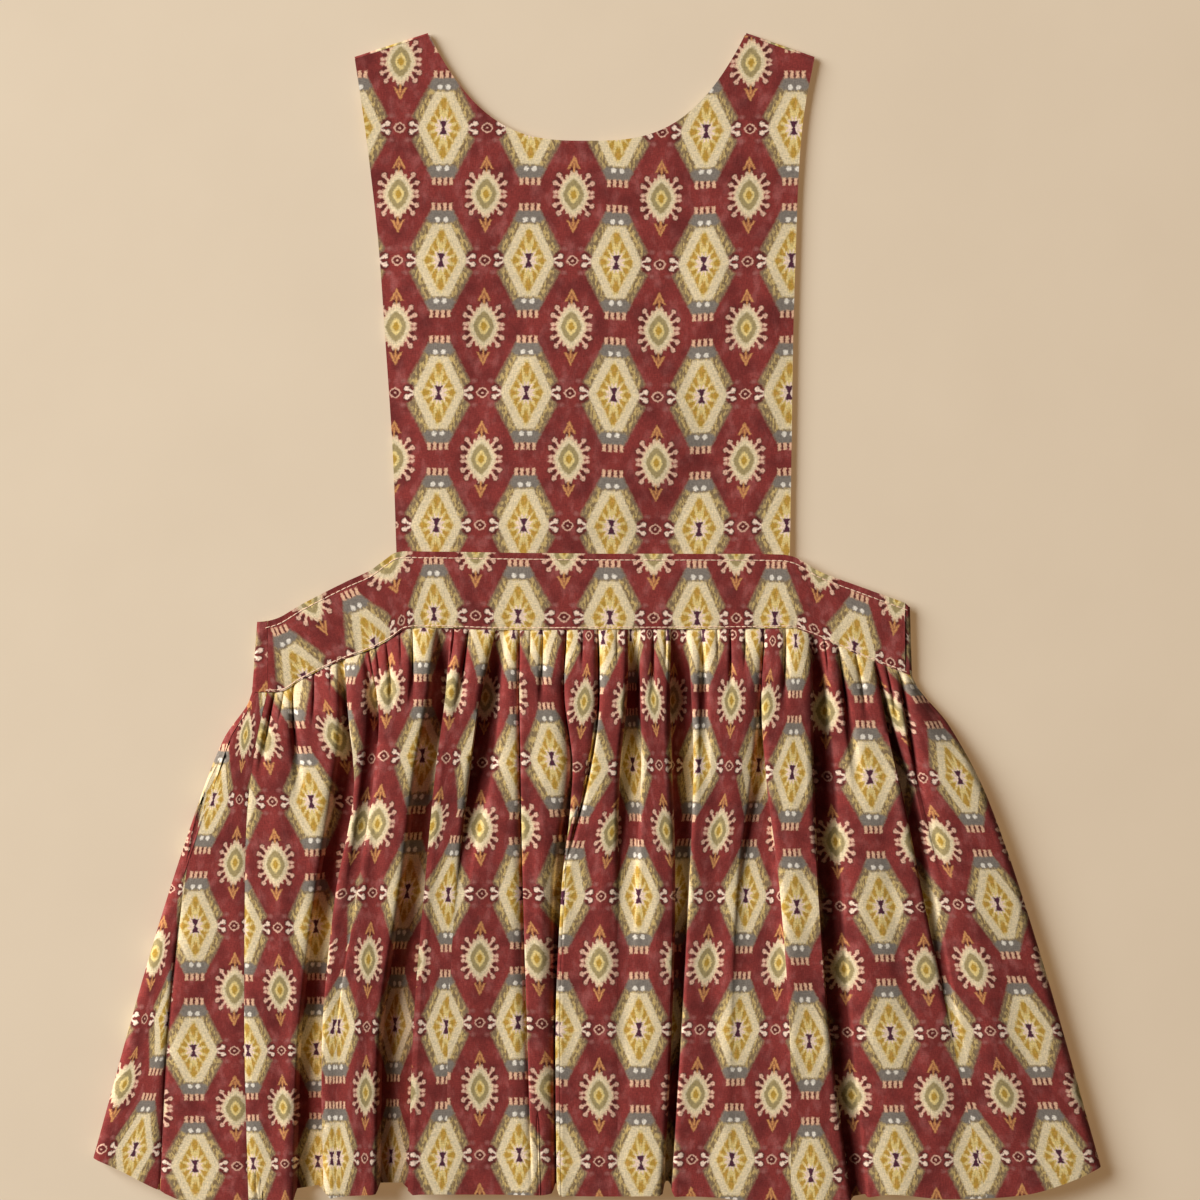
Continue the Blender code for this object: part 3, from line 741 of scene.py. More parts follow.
@dataclass(frozen=True)
class SoftFold:
    """A soft ridge or trough in the cloth, from one point to another, fading at both ends."""

    start: Place
    end: Place
    width: float
    height: float

    def rise(self, x: np.ndarray, y: np.ndarray) -> np.ndarray:
        """How far the cloth rises (or sinks, below zero) at places.

        Args:
            x: Places across, in millimetres.
            y: Places up.

        Returns:
            The rise in millimetres.
        """
        run_x = self.end[0] - self.start[0]
        run_y = self.end[1] - self.start[1]
        length = math.hypot(run_x, run_y)
        along = ((x - self.start[0]) * run_x + (y - self.start[1]) * run_y) / length ** 2
        beside = ((x - self.start[0]) * run_y - (y - self.start[1]) * run_x) / length
        fade = np.sin(math.pi * np.clip(along, 0.0, 1.0)) ** 0.8
        return self.height * np.exp(-((beside / self.width) ** 2)) * fade


@dataclass
class Bib:
    """The flat bib, cut in one with the fronts of the shoulder straps.

    Attributes:
        heights: Heights of the side table.
        left: X of the left side at each height.
        right: X of the right side at each height.
        neck_top: Height of the inner shoulder corners.
        neck_middle: X of the lowest point of the neck.
        neck_half: Half width of the neck.
        neck_depth: Depth of the scoop.
        tuck: How far it reaches under the band.
        lift_centre: Where the straps cross below the bib.
        lift_end: How far from there the cloth is lifted at all.
        lift_flat: Share of that way over which it lies level.
        shoulders: Outer and inner corner of each shoulder's fold.
        creases: Soft folds of the laid cloth.
        left_sink: How far the left free edge sinks.
        right_sink: How far the right one does.
        sinks_between: Height at which the sinking ends and how softly, below the shoulders and over the band.
        print_from: Where a medallion of the print starts.
        print_lean: Sideways drift of the print for each millimetre above lean_level.
        lean_level: Height at which it stands true.
        print_sag: How far its rows hang down at sag_middle, over half a width of sag_half.
        sag_middle: X of the sag's middle.
        sag_half: Its half width.
        rows: Rows from the shoulders to the band.
        cotton: Its finish.
    """

    heights: tuple[float, ...] = (270.2, 245.0, 219.5, 180.5, 134.5, 80.0, 32.0)
    left: tuple[float, ...] = (-116.6, -112.8, -109.4, -105.1, -101.8, -98.2, -96.4)
    right: tuple[float, ...] = (104.6, 99.8, 97.2, 95.6, 94.2, 93.4, 92.6)
    neck_top: float = 281.8
    neck_middle: float = -4.8
    neck_half: float = 76.3
    neck_depth: float = 52.0
    tuck: float = 8.0
    lift_centre: tuple[float, float] = (-5.4, 92.6)
    lift_end: float = 60.0
    lift_flat: float = 0.65
    shoulders: tuple[tuple[Place, Place], ...] = (
        ((-116.6, 270.2), (-81.1, 281.8)),
        ((104.6, 270.2), (71.5, 281.8)),
    )
    creases: tuple[SoftFold, ...] = (
        SoftFold((-92.0, 232.0), (-60.0, 96.0), 9.0, 0.55),
        SoftFold((-58.0, 214.0), (-74.0, 58.0), 13.0, 0.45),
        SoftFold((62.0, 226.0), (48.0, 74.0), 11.0, 0.5),
        SoftFold((86.0, 200.0), (80.0, 62.0), 8.0, 0.5),
        SoftFold((-30.0, 222.0), (34.0, 206.0), 10.0, 0.45),
        SoftFold((-88.0, 44.0), (84.0, 47.0), 7.0, 0.4),
        SoftFold((12.0, 190.0), (2.0, 120.0), 16.0, 0.35),
    )
    left_sink: float = 1.2
    right_sink: float = 0.3
    sinks_between: tuple[Place, Place] = ((222.0, 26.0), (34.0, 18.0))
    print_from: Place = (-75.4, 236.0)
    print_lean: float = 0.018
    lean_level: float = 140.0
    print_sag: float = 2.2
    sag_middle: float = 36.0
    sag_half: float = 32.0
    rows: int = 96
    cotton: KilimCotton = KilimCotton()

    def side(self, height: Numbers, edges: tuple[float, ...]) -> np.ndarray:
        """X of one side of the bib at a height."""
        return smooth_line([-value for value in self.heights], edges, -np.asarray(height, float))

    def neck_height(self, x: float) -> float:
        """Height of the neck's edge at an x."""
        share = min(1.0, abs(x - self.neck_middle) / self.neck_half)
        return self.neck_top - self.neck_depth * (1 - share ** 3)

    def shoulder_edge(self, shoulder: int, share: float) -> Vector:
        """Point on the bib's end, just inside the fold of a strap.

        Args:
            shoulder: 0 for the left one, 1 for the right one.
            share: 0 at the outer corner, 1 at the inner one.

        Returns:
            The point.
        """
        outer, inner = (Vector(corner) for corner in self.shoulders[shoulder])
        run = (inner - outer).normalized()
        inward = Vector((run.y, -run.x)) if run.x > 0 else Vector((-run.y, run.x))
        return outer.lerp(inner, share) + inward * 1.4

    def upper_edge(self) -> np.ndarray:
        """Points along the upper edge: left shoulder, neck, right shoulder.

        Returns:
            Places across and up.
        """
        shoulder_steps = 9
        neck_steps = 64
        points = [self.shoulder_edge(0, step / shoulder_steps) for step in range(shoulder_steps + 1)]
        start = points[-1].x
        end = self.shoulder_edge(1, 1.0).x
        for step in range(1, neck_steps):
            x = mix(start, end, (1 - math.cos(math.pi * step / neck_steps)) / 2)
            points.append(Vector((x, self.neck_height(x))))
        points += [self.shoulder_edge(1, 1 - step / shoulder_steps) for step in range(shoulder_steps + 1)]
        return np.array([tuple(point) for point in points])

    def height_over_floor(self, x: np.ndarray, y: np.ndarray) -> np.ndarray:
        """Height of the cloth's middle: lifted over the crossing straps, sinking at the free edges.

        Args:
            x: Places across.
            y: Places up.

        Returns:
            Heights in millimetres.
        """
        distance = np.hypot(x - self.lift_centre[0], y - self.lift_centre[1]) / self.lift_end
        lifted = 1.5 * ease((1 - distance) / (1 - self.lift_flat))
        to_edge = np.minimum(x - self.side(y, self.left), self.side(y, self.right) - x)
        (shoulder, softly), (seam, slowly) = self.sinks_between
        clear = ease((shoulder - y) / softly) * ease((y - seam) / slowly)
        sunk = np.where(x < 0, self.left_sink, self.right_sink) * (1 - ease(to_edge / 15.0)) * clear
        waves = sum(crease.rise(x, y) for crease in self.creases)
        return LIES_SECOND + lifted - sunk + np.maximum(waves, -0.3)

    def grid(self) -> ClothGrid:
        """Lay out the bib's cloth.

        Returns:
            The cloth.
        """
        upper = self.upper_edge()
        lower = self.heights[-1] - self.tuck
        share = (np.linspace(0, 1, self.rows) ** 0.9)[:, None]
        y = mix(upper[None, :, 1], lower, share)
        top_left = self.side(upper[:, 1], self.left)
        top_right = self.side(upper[:, 1], self.right)
        across = np.clip((upper[:, 0] - top_left) / (top_right - top_left), 0.0, 1.0)
        x = mix(self.side(y, self.left), self.side(y, self.right), across[None, :])
        points = np.stack([x, y, self.height_over_floor(x, y)], -1)
        leaning = (y - self.lean_level) * self.print_lean
        sagging = self.print_sag * np.exp(-(((x - self.sag_middle) / self.sag_half) ** 2))
        start_x, start_y = self.print_from
        across, down = (x - leaning - start_x) / REPEAT_ACROSS, (start_y - y - sagging) / REPEAT_DOWN
        print_at = np.stack([across, down], -1)
        return ClothGrid(points, print_at, print_at)

    def build(self) -> None:
        """Make the bib."""
        cut = Cut("bib_front", Slot.BIB, (0.222, 0.262), Lies.LAID, ("strap_left", "strap_right"), 0.0452)
        cut.place(self.grid(), self.cotton.material("bib_print"))


@dataclass
class BackStrap:
    """A strap that folds over the shoulder and runs down behind the bib to the back band.

    Attributes:
        name: Name of its node.
        outer: Outer corner of the shoulder's fold.
        inner: Inner corner.
        crosses_over: Whether it passes over the other strap.
        slant: Its angle to the middle line.
        half_width: Half its width.
        fold_radius: Radius of the shoulder's fold.
        fold_steps: Steps round the fold.
        crossing: Distance from the shoulder to the other strap.
        cross_half: Half the length that lies over it.
        ramp: Length of each climb.
        climbs_at: Distance at which it climbs over the back band's edge.
        square_from: Distance from which its rows turn square to it.
        first_row: Distance of its first row below the fold.
        row_step: Distance between its rows.
        length: How far it runs.
        cotton: Its finish.
    """

    name: str
    outer: tuple[float, float]
    inner: tuple[float, float]
    crosses_over: bool
    slant: float = math.radians(27)
    half_width: float = 16.5
    fold_radius: float = 0.75
    fold_steps: int = 10
    crossing: float = 205.8
    cross_half: float = 33.5
    ramp: float = 15.0
    climbs_at: float = 289.0
    square_from: float = 262.0
    first_row: float = 4.0
    row_step: float = 3.2
    length: float = 309.0
    cotton: KilimCotton = KilimCotton()

    def height(self, station: float) -> float:
        """Height of the cloth's middle along the strap.

        Args:
            station: Distance from the shoulder's fold.

        Returns:
            The height.
        """
        climbed = float(ease((station - self.climbs_at) / self.ramp + 0.5))
        lifted = 0.0
        if self.crosses_over:
            beyond = abs(station - self.crossing) - self.cross_half
            lifted = 1 - float(ease(beyond / self.ramp))
        return LIES_LOW + 1.5 * max(climbed, lifted)

    def grid(self) -> ClothGrid:
        """Lay out the strap's cloth, with its print running along it.

        Returns:
            The cloth.
        """
        outer = Vector((*self.outer, 0))
        inner = Vector((*self.inner, 0))
        side = 1 if inner.x > outer.x else -1
        start, end = (outer, inner) if side > 0 else (inner, outer)
        run = (end - start).normalized()
        outward = Vector((-run.y, run.x, 0))
        middle = (outer + inner) / 2
        half = (end - start).length / 2 - 0.2
        centre = middle - outward * (self.fold_radius + OUTLINE_INSET)
        lines = []
        for step in range(self.fold_steps + 1):
            turn = math.pi * (0.5 - step / self.fold_steps)
            reach = outward * (self.fold_radius * math.cos(turn))
            height = LIES_LOW + self.fold_radius * (1 + math.sin(turn))
            lines.append((centre + reach + Vector((0, 0, height)), run * half, step * 0.25))
        axis = Vector((side * math.sin(self.slant), -math.cos(self.slant), 0))
        square = Vector((-axis.y, axis.x, 0)) * self.half_width
        level = Vector((self.half_width / math.cos(self.slant), 0, 0))
        for index in range(int((self.length - self.first_row) / self.row_step) + 1):
            station = self.first_row + self.row_step * index
            place = middle + axis * station
            place.z = self.height(station)
            turned = float(ease((station - self.square_from) / 24.0))
            opened = float(ease(station / 14.0))
            across = (run * half).lerp(square.lerp(level, turned), opened)
            lines.append((place, across, station + 2.0))
        shares = np.linspace(1.0, -1.0, 13)
        points = np.array([[tuple(place + across * share) for share in shares] for place, across, _ in lines])
        printed = np.array([[(share * 0.4 + 0.5, (run_down + 30) / REPEAT_DOWN) for share in shares]
                            for _, _, run_down in lines])
        return ClothGrid(points, printed, printed)

    def build(self) -> None:
        """Make the strap."""
        rests_on = ("strap_left",) if self.crosses_over else ()
        cut = Cut(self.name, Slot.STRAP, (0.037, 0.325), Lies.FOLDED, rests_on)
        cut.place(self.grid(), self.cotton.material(self.name + "_print"))


# Waistband --------------------------------------------------------------------------------------------------

@dataclass(frozen=True)
class SideCorner:
    """A corner of the back band: where it meets the front's seam, and where it turns under."""

    seam_x: float
    seam_y: float
    edge_x: float
    edge_y: float


@dataclass
class Waistband:
    """The shaped front band over the bib's edge, and the back band whose ends show beside it.

    Attributes:
        rows: Upper x, upper y, lower x and lower y of the front band, from left to right.
        print_columns: X on the middle line and the repeat of the print there.
        print_turns: X on the middle line and the print's turn there, in degrees.
        print_heights: X on the middle line and how far down the print that line runs, in repeats.
        left_upper: The back band's upper corner on the left.
        left_lower: Its lower corner there.
        right_upper: Its upper corner on the right.
        right_lower: Its lower corner there.
        arch: How far the back band rises in its middle.
        crown: How far the front band swells.
        thickness: Thickness of the front band.
        columns: Columns of the front band.
        rows_across: Rows of the front band.
        stitch_inset_upper: How far the upper stitching lies below the edge.
        stitch_inset_lower: How far the lower stitching lies above the seam.
        upper_dents: Dents along the upper edge: distance from it, half width and depth.
        lower_dent: The same at the seam.
        lift: How far its middle lies over the third layer.
        pucker: How far the gathers ripple it at the seam.
        pucker_above: How far it ripples at the upper edge.
        pucker_fades: Distance over which each of the two fades.
        back_rows: Rows of the back band.
        back_columns: Columns of its hidden middle.
        back_print: Repeats of its print at its right end, and at its upper and lower edge.
        cotton: Their finish.
    """

    rows: tuple[tuple[float, float, float, float], ...] = (
        (-157.7, -0.5, -157.7, -34.5),
        (-151.5, 1.6, -150.0, -33.8),
        (-140.0, 8.3, -142.5, -29.0),
        (-121.0, 18.0, -124.0, -19.8),
        (-109.0, 23.6, -107.0, -13.4),
        (-101.5, 29.0, -99.0, -9.0),
        (-95.0, 32.6, -92.0, -4.4),
        (-80.0, 32.8, -80.0, -3.6),
        (-46.5, 32.3, -46.5, -4.6),
        (1.5, 31.8, 1.5, -4.4),
        (49.5, 31.7, 49.5, -4.3),
        (84.0, 31.5, 84.0, -3.9),
        (93.0, 30.6, 94.0, -3.9),
        (99.0, 27.8, 101.5, -6.3),
        (107.5, 22.8, 111.8, -10.6),
        (126.5, 15.8, 128.5, -18.0),
        (147.5, 8.2, 147.5, -25.4),
    )
    print_columns: tuple[tuple[float, float], ...] = (
        (-158.0, -2.34), (-147.5, -2.0), (-113.5, -1.0), (-78.4, 0.0), (-37.9, 1.0), (6.2, 2.0), (48.0, 3.0),
        (85.4, 4.0), (124.8, 5.0), (142.0, 5.5), (152.0, 5.8),
    )
    print_turns: tuple[tuple[float, float], ...] = (
        (-110.0, 32.0), (-90.0, 3.0), (-70.0, 0.0), (80.0, 0.0), (110.0, -7.0),
    )
    print_heights: tuple[tuple[float, float], ...] = (
        (-110.0, -0.25), (-80.0, -0.185), (85.0, -0.205), (125.0, -0.225),
    )
    left_upper: SideCorner = SideCorner(-158.0, -0.6, -163.2, -1.0)
    left_lower: SideCorner = SideCorner(-158.0, -34.5, -165.6, -34.6)
    right_upper: SideCorner = SideCorner(147.8, 8.0, 150.2, 5.3)
    right_lower: SideCorner = SideCorner(147.8, -25.6, 151.2, -27.4)
    arch: float = 10.0
    crown: float = 0.55
    thickness: float = 1.1
    columns: int = 264
    rows_across: int = 30
    stitch_inset_upper: float = 3.0
    stitch_inset_lower: float = 0.9
    upper_dents: tuple[tuple[float, float, float], ...] = ((3.0, 0.9, 0.42), (6.0, 1.6, 0.12))
    lower_dent: tuple[float, float, float] = (0.9, 0.9, 0.22)
    lift: float = 0.15
    pucker: float = 0.16
    pucker_above: float = 0.07
    pucker_fades: tuple[float, float] = (7.0, 5.0)
    back_rows: int = 16
    back_columns: int = 42
    back_print: tuple[float, float, float] = (5.67, -0.26, 0.3)
    cotton: KilimCotton = KilimCotton()

    def lower_edge(self, x: Numbers) -> np.ndarray:
        """Y of the band's lower edge in front, its back ends included.

        Args:
            x: Places across.

        Returns:
            Places up.
        """
        places = [self.left_lower.edge_x] + [row[2] for row in self.rows] + [self.right_lower.edge_x]
        heights = [self.left_lower.edge_y] + [row[3] for row in self.rows] + [self.right_lower.edge_y]
        return smooth_line(places, heights, x)

    def back_y(self, x: Numbers, share: float) -> np.ndarray:
        """Y of the back band on the floor.

        Args:
            x: Places across.
            share: 0 on the upper edge, 1 on the lower one.

        Returns:
            Heights in millimetres.
        """
        edges = []
        for left, right in ((self.left_upper, self.right_upper), (self.left_lower, self.right_lower)):
            along = np.clip((np.asarray(x, float) - left.edge_x) / (right.edge_x - left.edge_x), 0.0, 1.0)
            edges.append(mix(left.edge_y, right.edge_y, along) + self.arch * np.sin(math.pi * along))
        return mix(*edges, share)

    def edges(self) -> tuple[np.ndarray, np.ndarray]:
        """Edges of the front band, from left to right.

        Returns:
            Points of the upper edge and of the lower one.
        """
        knots = list(range(len(self.rows)))
        where = np.linspace(0, len(self.rows) - 1, self.columns)
        table = np.array(self.rows)
        upper = np.stack([smooth_line(knots, table[:, 0], where), smooth_line(knots, table[:, 1], where)], -1)
        lower_x = smooth_line(knots, table[:, 2], where)
        return upper, np.stack([lower_x, self.lower_edge(lower_x)], -1)

    def print_place(self, middle: np.ndarray, offset: np.ndarray) -> np.ndarray:
        """Place in the print of points beside the band's middle line.

        Args:
            middle: X of the middle line for each column.
            offset: Vectors from the middle line to the points.

        Returns:
            Repeats across and down.
        """
        columns = np.array(self.print_columns)
        turns = np.array(self.print_turns)
        heights = np.array(self.print_heights)
        turn = np.radians(np.interp(middle, turns[:, 0], turns[:, 1]))
        across = np.interp(middle, columns[:, 0], columns[:, 1])
        down = np.interp(middle, heights[:, 0], heights[:, 1])
        across = across + (offset[..., 0] * np.cos(turn) + offset[..., 1] * np.sin(turn)) / REPEAT_ACROSS
        down = down + (offset[..., 0] * np.sin(turn) - offset[..., 1] * np.cos(turn)) / REPEAT_DOWN
        return np.stack([across, down], -1)

    def front_grid(self) -> ClothGrid:
        """Lay out the front band, drawn in a little along its stitching and puckered by the gathers.

        Returns:
            The cloth.
        """
        upper, lower = self.edges()
        share = np.linspace(0, 1, self.rows_across)[:, None]
        x = mix(upper[None, :, 0], lower[None, :, 0], share)
        y = mix(upper[None, :, 1], lower[None, :, 1], share)
        width = np.hypot(*(upper - lower).T)[None, :]
        from_upper = share * width
        from_lower = (1 - share) * width
        dents = [(from_upper, *dent) for dent in self.upper_dents] + [(from_lower, *self.lower_dent)]
        groove = sum(depth * np.exp(-((away - at) / half) ** 2) for away, at, half, depth in dents)
        ripple = np.sin(x * 0.63 + 0.8 * np.sin(x * 0.21)) + 0.6 * np.sin(x * 1.17 + 1.0)
        pucker = self.pucker * ripple * np.exp(-from_lower / self.pucker_fades[0])
        fine = self.pucker_above * np.sin(x * 0.9 + 0.5 * np.sin(x * 0.13))
        pucker = pucker + fine * np.exp(-from_upper / self.pucker_fades[1])
        z = LIES_THIRD + self.lift + self.crown * np.sin(math.pi * share) - groove + pucker
        middle = (upper + lower) / 2
        offset = np.stack([x - middle[None, :, 0], y - middle[None, :, 1]], -1)
        print_at = self.print_place(np.broadcast_to(middle[None, :, 0], x.shape), offset)
        return ClothGrid(np.stack([x, y, z], -1), print_at, print_at, self.thickness)

    def stitch_line(self, inset: float, from_upper: bool) -> np.ndarray:
        """Path of a row of topstitching on the outer face of the front band.

        Args:
            inset: Distance from the edge.
            from_upper: Whether it follows the upper edge.

        Returns:
            Points in millimetres.
        """
        grid = self.front_grid().points
        upper, lower = self.edges()
        width = np.hypot(*(upper - lower).T)
        share = inset / width if from_upper else 1 - inset / width
        place = share * (self.rows_across - 1)
        row = np.floor(place).astype(int)
        rest = (place - row)[:, None]
        column = np.arange(self.columns)
        points = grid[row, column] * (1 - rest) + grid[row + 1, column] * rest
        points[:, 2] += self.thickness / 2 + 0.02
        return points

    def end_point(self, x: float, height: float, share: float, upper: SideCorner) -> tuple:
        """Point of the back band's end, which shows beside the front band."""
        upper_y = mix(upper.seam_y, upper.edge_y, (x - upper.seam_x) / (upper.edge_x - upper.seam_x))
        return x, float(mix(upper_y, self.lower_edge(x), share)), height

    def turn_points(self, side: int, share: float, upper: SideCorner, lower: SideCorner) -> list[tuple]:
        """Points of the back band's half turn round a side, from its upper to its lower layer.

        Args:
            side: 1 on the right, -1 on the left.
            share: Place from the upper edge (0) to the lower one (1).
            upper: The upper corner at this side.
            lower: The lower corner.

        Returns:
            The points.
        """
        edge_x = mix(upper.edge_x, lower.edge_x, share) - side * OUTLINE_INSET
        radius = (LIES_THIRD - LIES_LOW) / 2
        steps = 11
        points = []
        for step in range(steps + 1):
            angle = math.pi * step / steps
            x = edge_x + side * radius * (math.sin(angle) - 1)
            height = LIES_LOW + radius * (1 + math.cos(angle))
            if step <= steps // 2:
                points.append(self.end_point(x, height, share, upper))
            else:
                points.append((x, float(self.back_y(x, share)), height))
        return points

    def back_grid(self) -> ClothGrid:
        """Lay out the back band from its right seam, under the garment, to its left seam.

        Returns:
            The cloth.
        """
        rows = []
        for share in np.linspace(0, 1, self.back_rows):
            right = self.turn_points(1, share, self.right_upper, self.right_lower)
            left = self.turn_points(-1, share, self.left_upper, self.left_lower)
            row = [self.end_point(self.right_upper.seam_x - 0.1, LIES_THIRD, share, self.right_upper)] + right
            middle = np.linspace(right[-1][0], left[-1][0], self.back_columns)[1:-1]
            row += [(x, float(self.back_y(x, share)), LIES_LOW) for x in middle] + left[::-1]
            seam_x = self.left_upper.seam_x
            for x in (mix(seam_x, self.left_upper.edge_x, 0.5), seam_x + 0.1):
                row.append(self.end_point(x, LIES_THIRD, share, self.left_upper))
            rows.append(row)
        points = np.array(rows)
        steps = np.linalg.norm(np.diff(points, axis=1), axis=2)
        arc = np.concatenate([np.zeros((len(rows), 1)), np.cumsum(steps, 1)], 1)
        start, upper, lower = self.back_print
        down = np.linspace(upper, lower, len(rows))[:, None] * np.ones_like(arc)
        print_at = np.stack([start + arc / REPEAT_ACROSS, down], -1)
        return ClothGrid(points, print_at, print_at)

    def build(self) -> None:
        """Make both bands."""
        below = ("bib_front", "skirt_front")
        front = Cut("waistband_front", Slot.BAND, (0.325, 0.068), Lies.LAID, below, 0.0118)
        front.place(self.front_grid(), self.cotton.material("band_front_print"))
        back = Cut("waistband_back", Slot.BAND, (0.335, 0.047), Lies.FOLDED, (), 0.0118)
        back.place(self.back_grid(), self.cotton.material("band_back_print"))


# Skirt ------------------------------------------------------------------------------------------------------

TABLE_LEVELS = (0.0, 0.12, 0.25, 0.45, 0.7, 1.0)
EDGE_LEVELS = (0.0, 0.03, 0.1, 0.25, 0.55, 1.0)
LEFT_EDGE = (-165.6, -168.2, -179.0, -192.0, -213.5, -241.4)
RIGHT_EDGE = (151.2, 155.0, 168.8, 187.4, 211.3, 241.4)


class Side(Enum):
    """A side of a fold."""

    LEFT = "left"
    RIGHT = "right"


def at_levels(values: Sequence[float]) -> Callable[[float], float]:
    """Smooth curve through a row of values at the table's levels."""
    return lambda level: float(smooth_line(TABLE_LEVELS, values, level))


@dataclass(eq=False)
class Valley:
    """A sunken strip across the rows of the skirt, or a mere line where both of its edges meet.

    Attributes:
        left: X of its left edge at a level.
        right: X of its right edge at a level.
        depth: Depth at a level, 1 reaching the back.
        slopes: Widths of the soft slopes on its left and right.
        lean: How far the right edge hangs over its wall (1 upright), or below zero the left one.
        breaks: Side at which the print jumps.
        wall: Width of its walls.
        soft_side: Share of the depth in a soft slope, and what each millimetre of its width adds.
        sharp_side: The same where the other edge hangs over.
        lip: How far the hanging edge stands up, as a share of the depth.
    """

    left: Callable[[float], float]
    right: Callable[[float], float]
    depth: Callable[[float], float]
    slopes: tuple[float, float]
    lean: float = 0.0
    breaks: Side = Side.RIGHT
    wall: float = 2.0
    soft_side: tuple[float, float] = (0.12, 0.014)
    sharp_side: tuple[float, float] = (0.03, 0.008)
    lip: float = 0.07

    @property
    def is_strip(self) -> bool:
        """Whether it has a width."""
        return self.left is not self.right

    def cut(self, x: np.ndarray, level: float) -> tuple[np.ndarray, np.ndarray]:
        """Work out the strip across a row of the cloth.

        Args:
            x: Nominal places across.
            level: Level of the row.

        Returns:
            Share of the height that it takes away, and its sideways shift.
        """
        left, right = self.left(level), self.right(level)
        deep = self.depth(level) * float(ease((level + 0.006) / 0.012))
        if not self.is_strip or deep <= 0:
            return np.zeros_like(x), np.zeros_like(x)
        wall = min(self.wall, 0.8 * (right - left))
        opened = float(ease(level / 0.3))
        on_left = x < (left + right) / 2
        widths = [mix(min(width, 3.0), width, opened) for width in self.slopes]
        away = [np.maximum(0.0, left - x) / widths[0], np.maximum(0.0, x - right) / widths[1]]
        beyond = np.where(on_left, *away)
        sides = [self.sharp_side if hangs else self.soft_side for hangs in (self.lean < 0, self.lean > 0)]
        soft = np.where(on_left, *(share + more * width for (share, more), width in zip(sides, self.slopes)))
        soft = soft * np.clip(1 - beyond, 0, 1) ** 2
        core = ease((x - left) / wall + 0.5) * (1 - ease((x - right) / wall + 0.5))
        taken = deep * (soft + (1 - soft) * core)
        if self.lean == 0:
            return taken, np.zeros_like(x)
        side = 1 if self.lean > 0 else -1
        out = side * (x - (right if side > 0 else left))
        reach = wall / 2 * abs(self.lean) * min(1.0, deep * 1.3) * float(ease((level - 0.01) / 0.08))
        over = np.exp(-np.maximum(0.0, out - wall / 2) / 4.0)
        under = np.exp(np.minimum(0.0, out + wall / 2) / 1.5)
        half = wall / 2
        shift = np.where(out > half, -over, np.where(out < -half, under, -out / half)) * reach * side
        rim = self.lip * deep * opened * np.exp(-((out - wall / 2 - 0.8) / 2.2) ** 2)
        return taken - rim, shift


@dataclass(frozen=True)
class Fold:
    """A long fold: a sunken strip between two panels of the skirt.

    Attributes:
        name: Name of the fold.
        lefts: Where the panel on its left ends, at the table's levels from waist to hem.
        gaps: Width of the strip at these levels.
        depths: Depth at these levels, 1 reaching the back.
        fall: Width of the soft slope of the panel on its left.
        rise: Width of the soft slope of the panel on its right.
        lean: How far the right panel's edge hangs over its wall (1 upright), or below zero the left panel's.
        crest: Height of the panel on its right.
        breaks: Side at which the print jumps.
    """

    name: str
    lefts: tuple[float, ...]
    gaps: tuple[float, ...]
    depths: tuple[float, ...]
    fall: float
    rise: float
    lean: float
    crest: float
    breaks: Side = Side.RIGHT

    def valley(self) -> Valley:
        """Strip of the fold, or a mere line where its gaps are zero.

        Returns:
            The strip.
        """
        left, gap = at_levels(self.lefts), at_levels(self.gaps)
        right = (lambda level: left(level) + gap(level)) if any(self.gaps) else left
        return Valley(left, right, at_levels(self.depths), (self.fall, self.rise), self.lean, self.breaks)


@dataclass(frozen=True)
class Gather:
    """A short gather.

    Attributes:
        waist: Where it starts along the waist.
        reach: How far down it runs, as a level.
        deep: Its depth, 1 reaching the back.
        drift: How far it drifts sideways.
    """

    waist: float
    reach: float
    deep: float
    drift: float = 0.0

    def valley(self, before: Valley, after: Valley) -> Valley:
        """Strip of the gather, which keeps its share of the way between two long folds.

        Args:
            before: The long fold on its left.
            after: The long fold on its right.

        Returns:
            The strip.
        """
        share = (self.waist - before.right(0.0)) / (after.left(0.0) - before.right(0.0))
        half = 0.7 + 2.0 * self.reach
        slope = 3.0 + 12.0 * self.reach

        def edge(level: float, side: int) -> float:
            """Edge of the strip.

            Args:
                level: Level of the row.
                side: -1 for the left edge, 1 for the right one.

            Returns:
                Its X.
            """
            drift = self.drift * float(ease(level / self.reach)) * (1 - float(ease((level - 0.3) / 0.3)))
            middle = mix(before.right(level), after.left(level), share) + drift
            return middle + side * (half * (0.6 + float(ease(level / 0.2))))

        return Valley(
            partial(edge, side=-1), partial(edge, side=1),
            lambda level: self.deep * (1 - float(ease(level / self.reach))), (slope, slope),
        )


@dataclass(frozen=True)
class Panel:
    """A stretch of the skirt between two deep folds, and how the print hangs in it.

    Attributes:
        first_line: Fold on its left, counted from the skirt's left edge as 0.
        last_line: Fold on its right.
        repeat: Repeat of the print that its guide line follows.
        places: Where the guide line runs, at the print's heights.
        halves: Width of half a repeat there, as the cloth turns away from above.
        drops: How far its rows hang down, at the heights of the rows.
    """

    first_line: int
    last_line: int
    repeat: float
    places: tuple[float, ...]
    halves: tuple[float, ...]
    drops: tuple[float, ...]


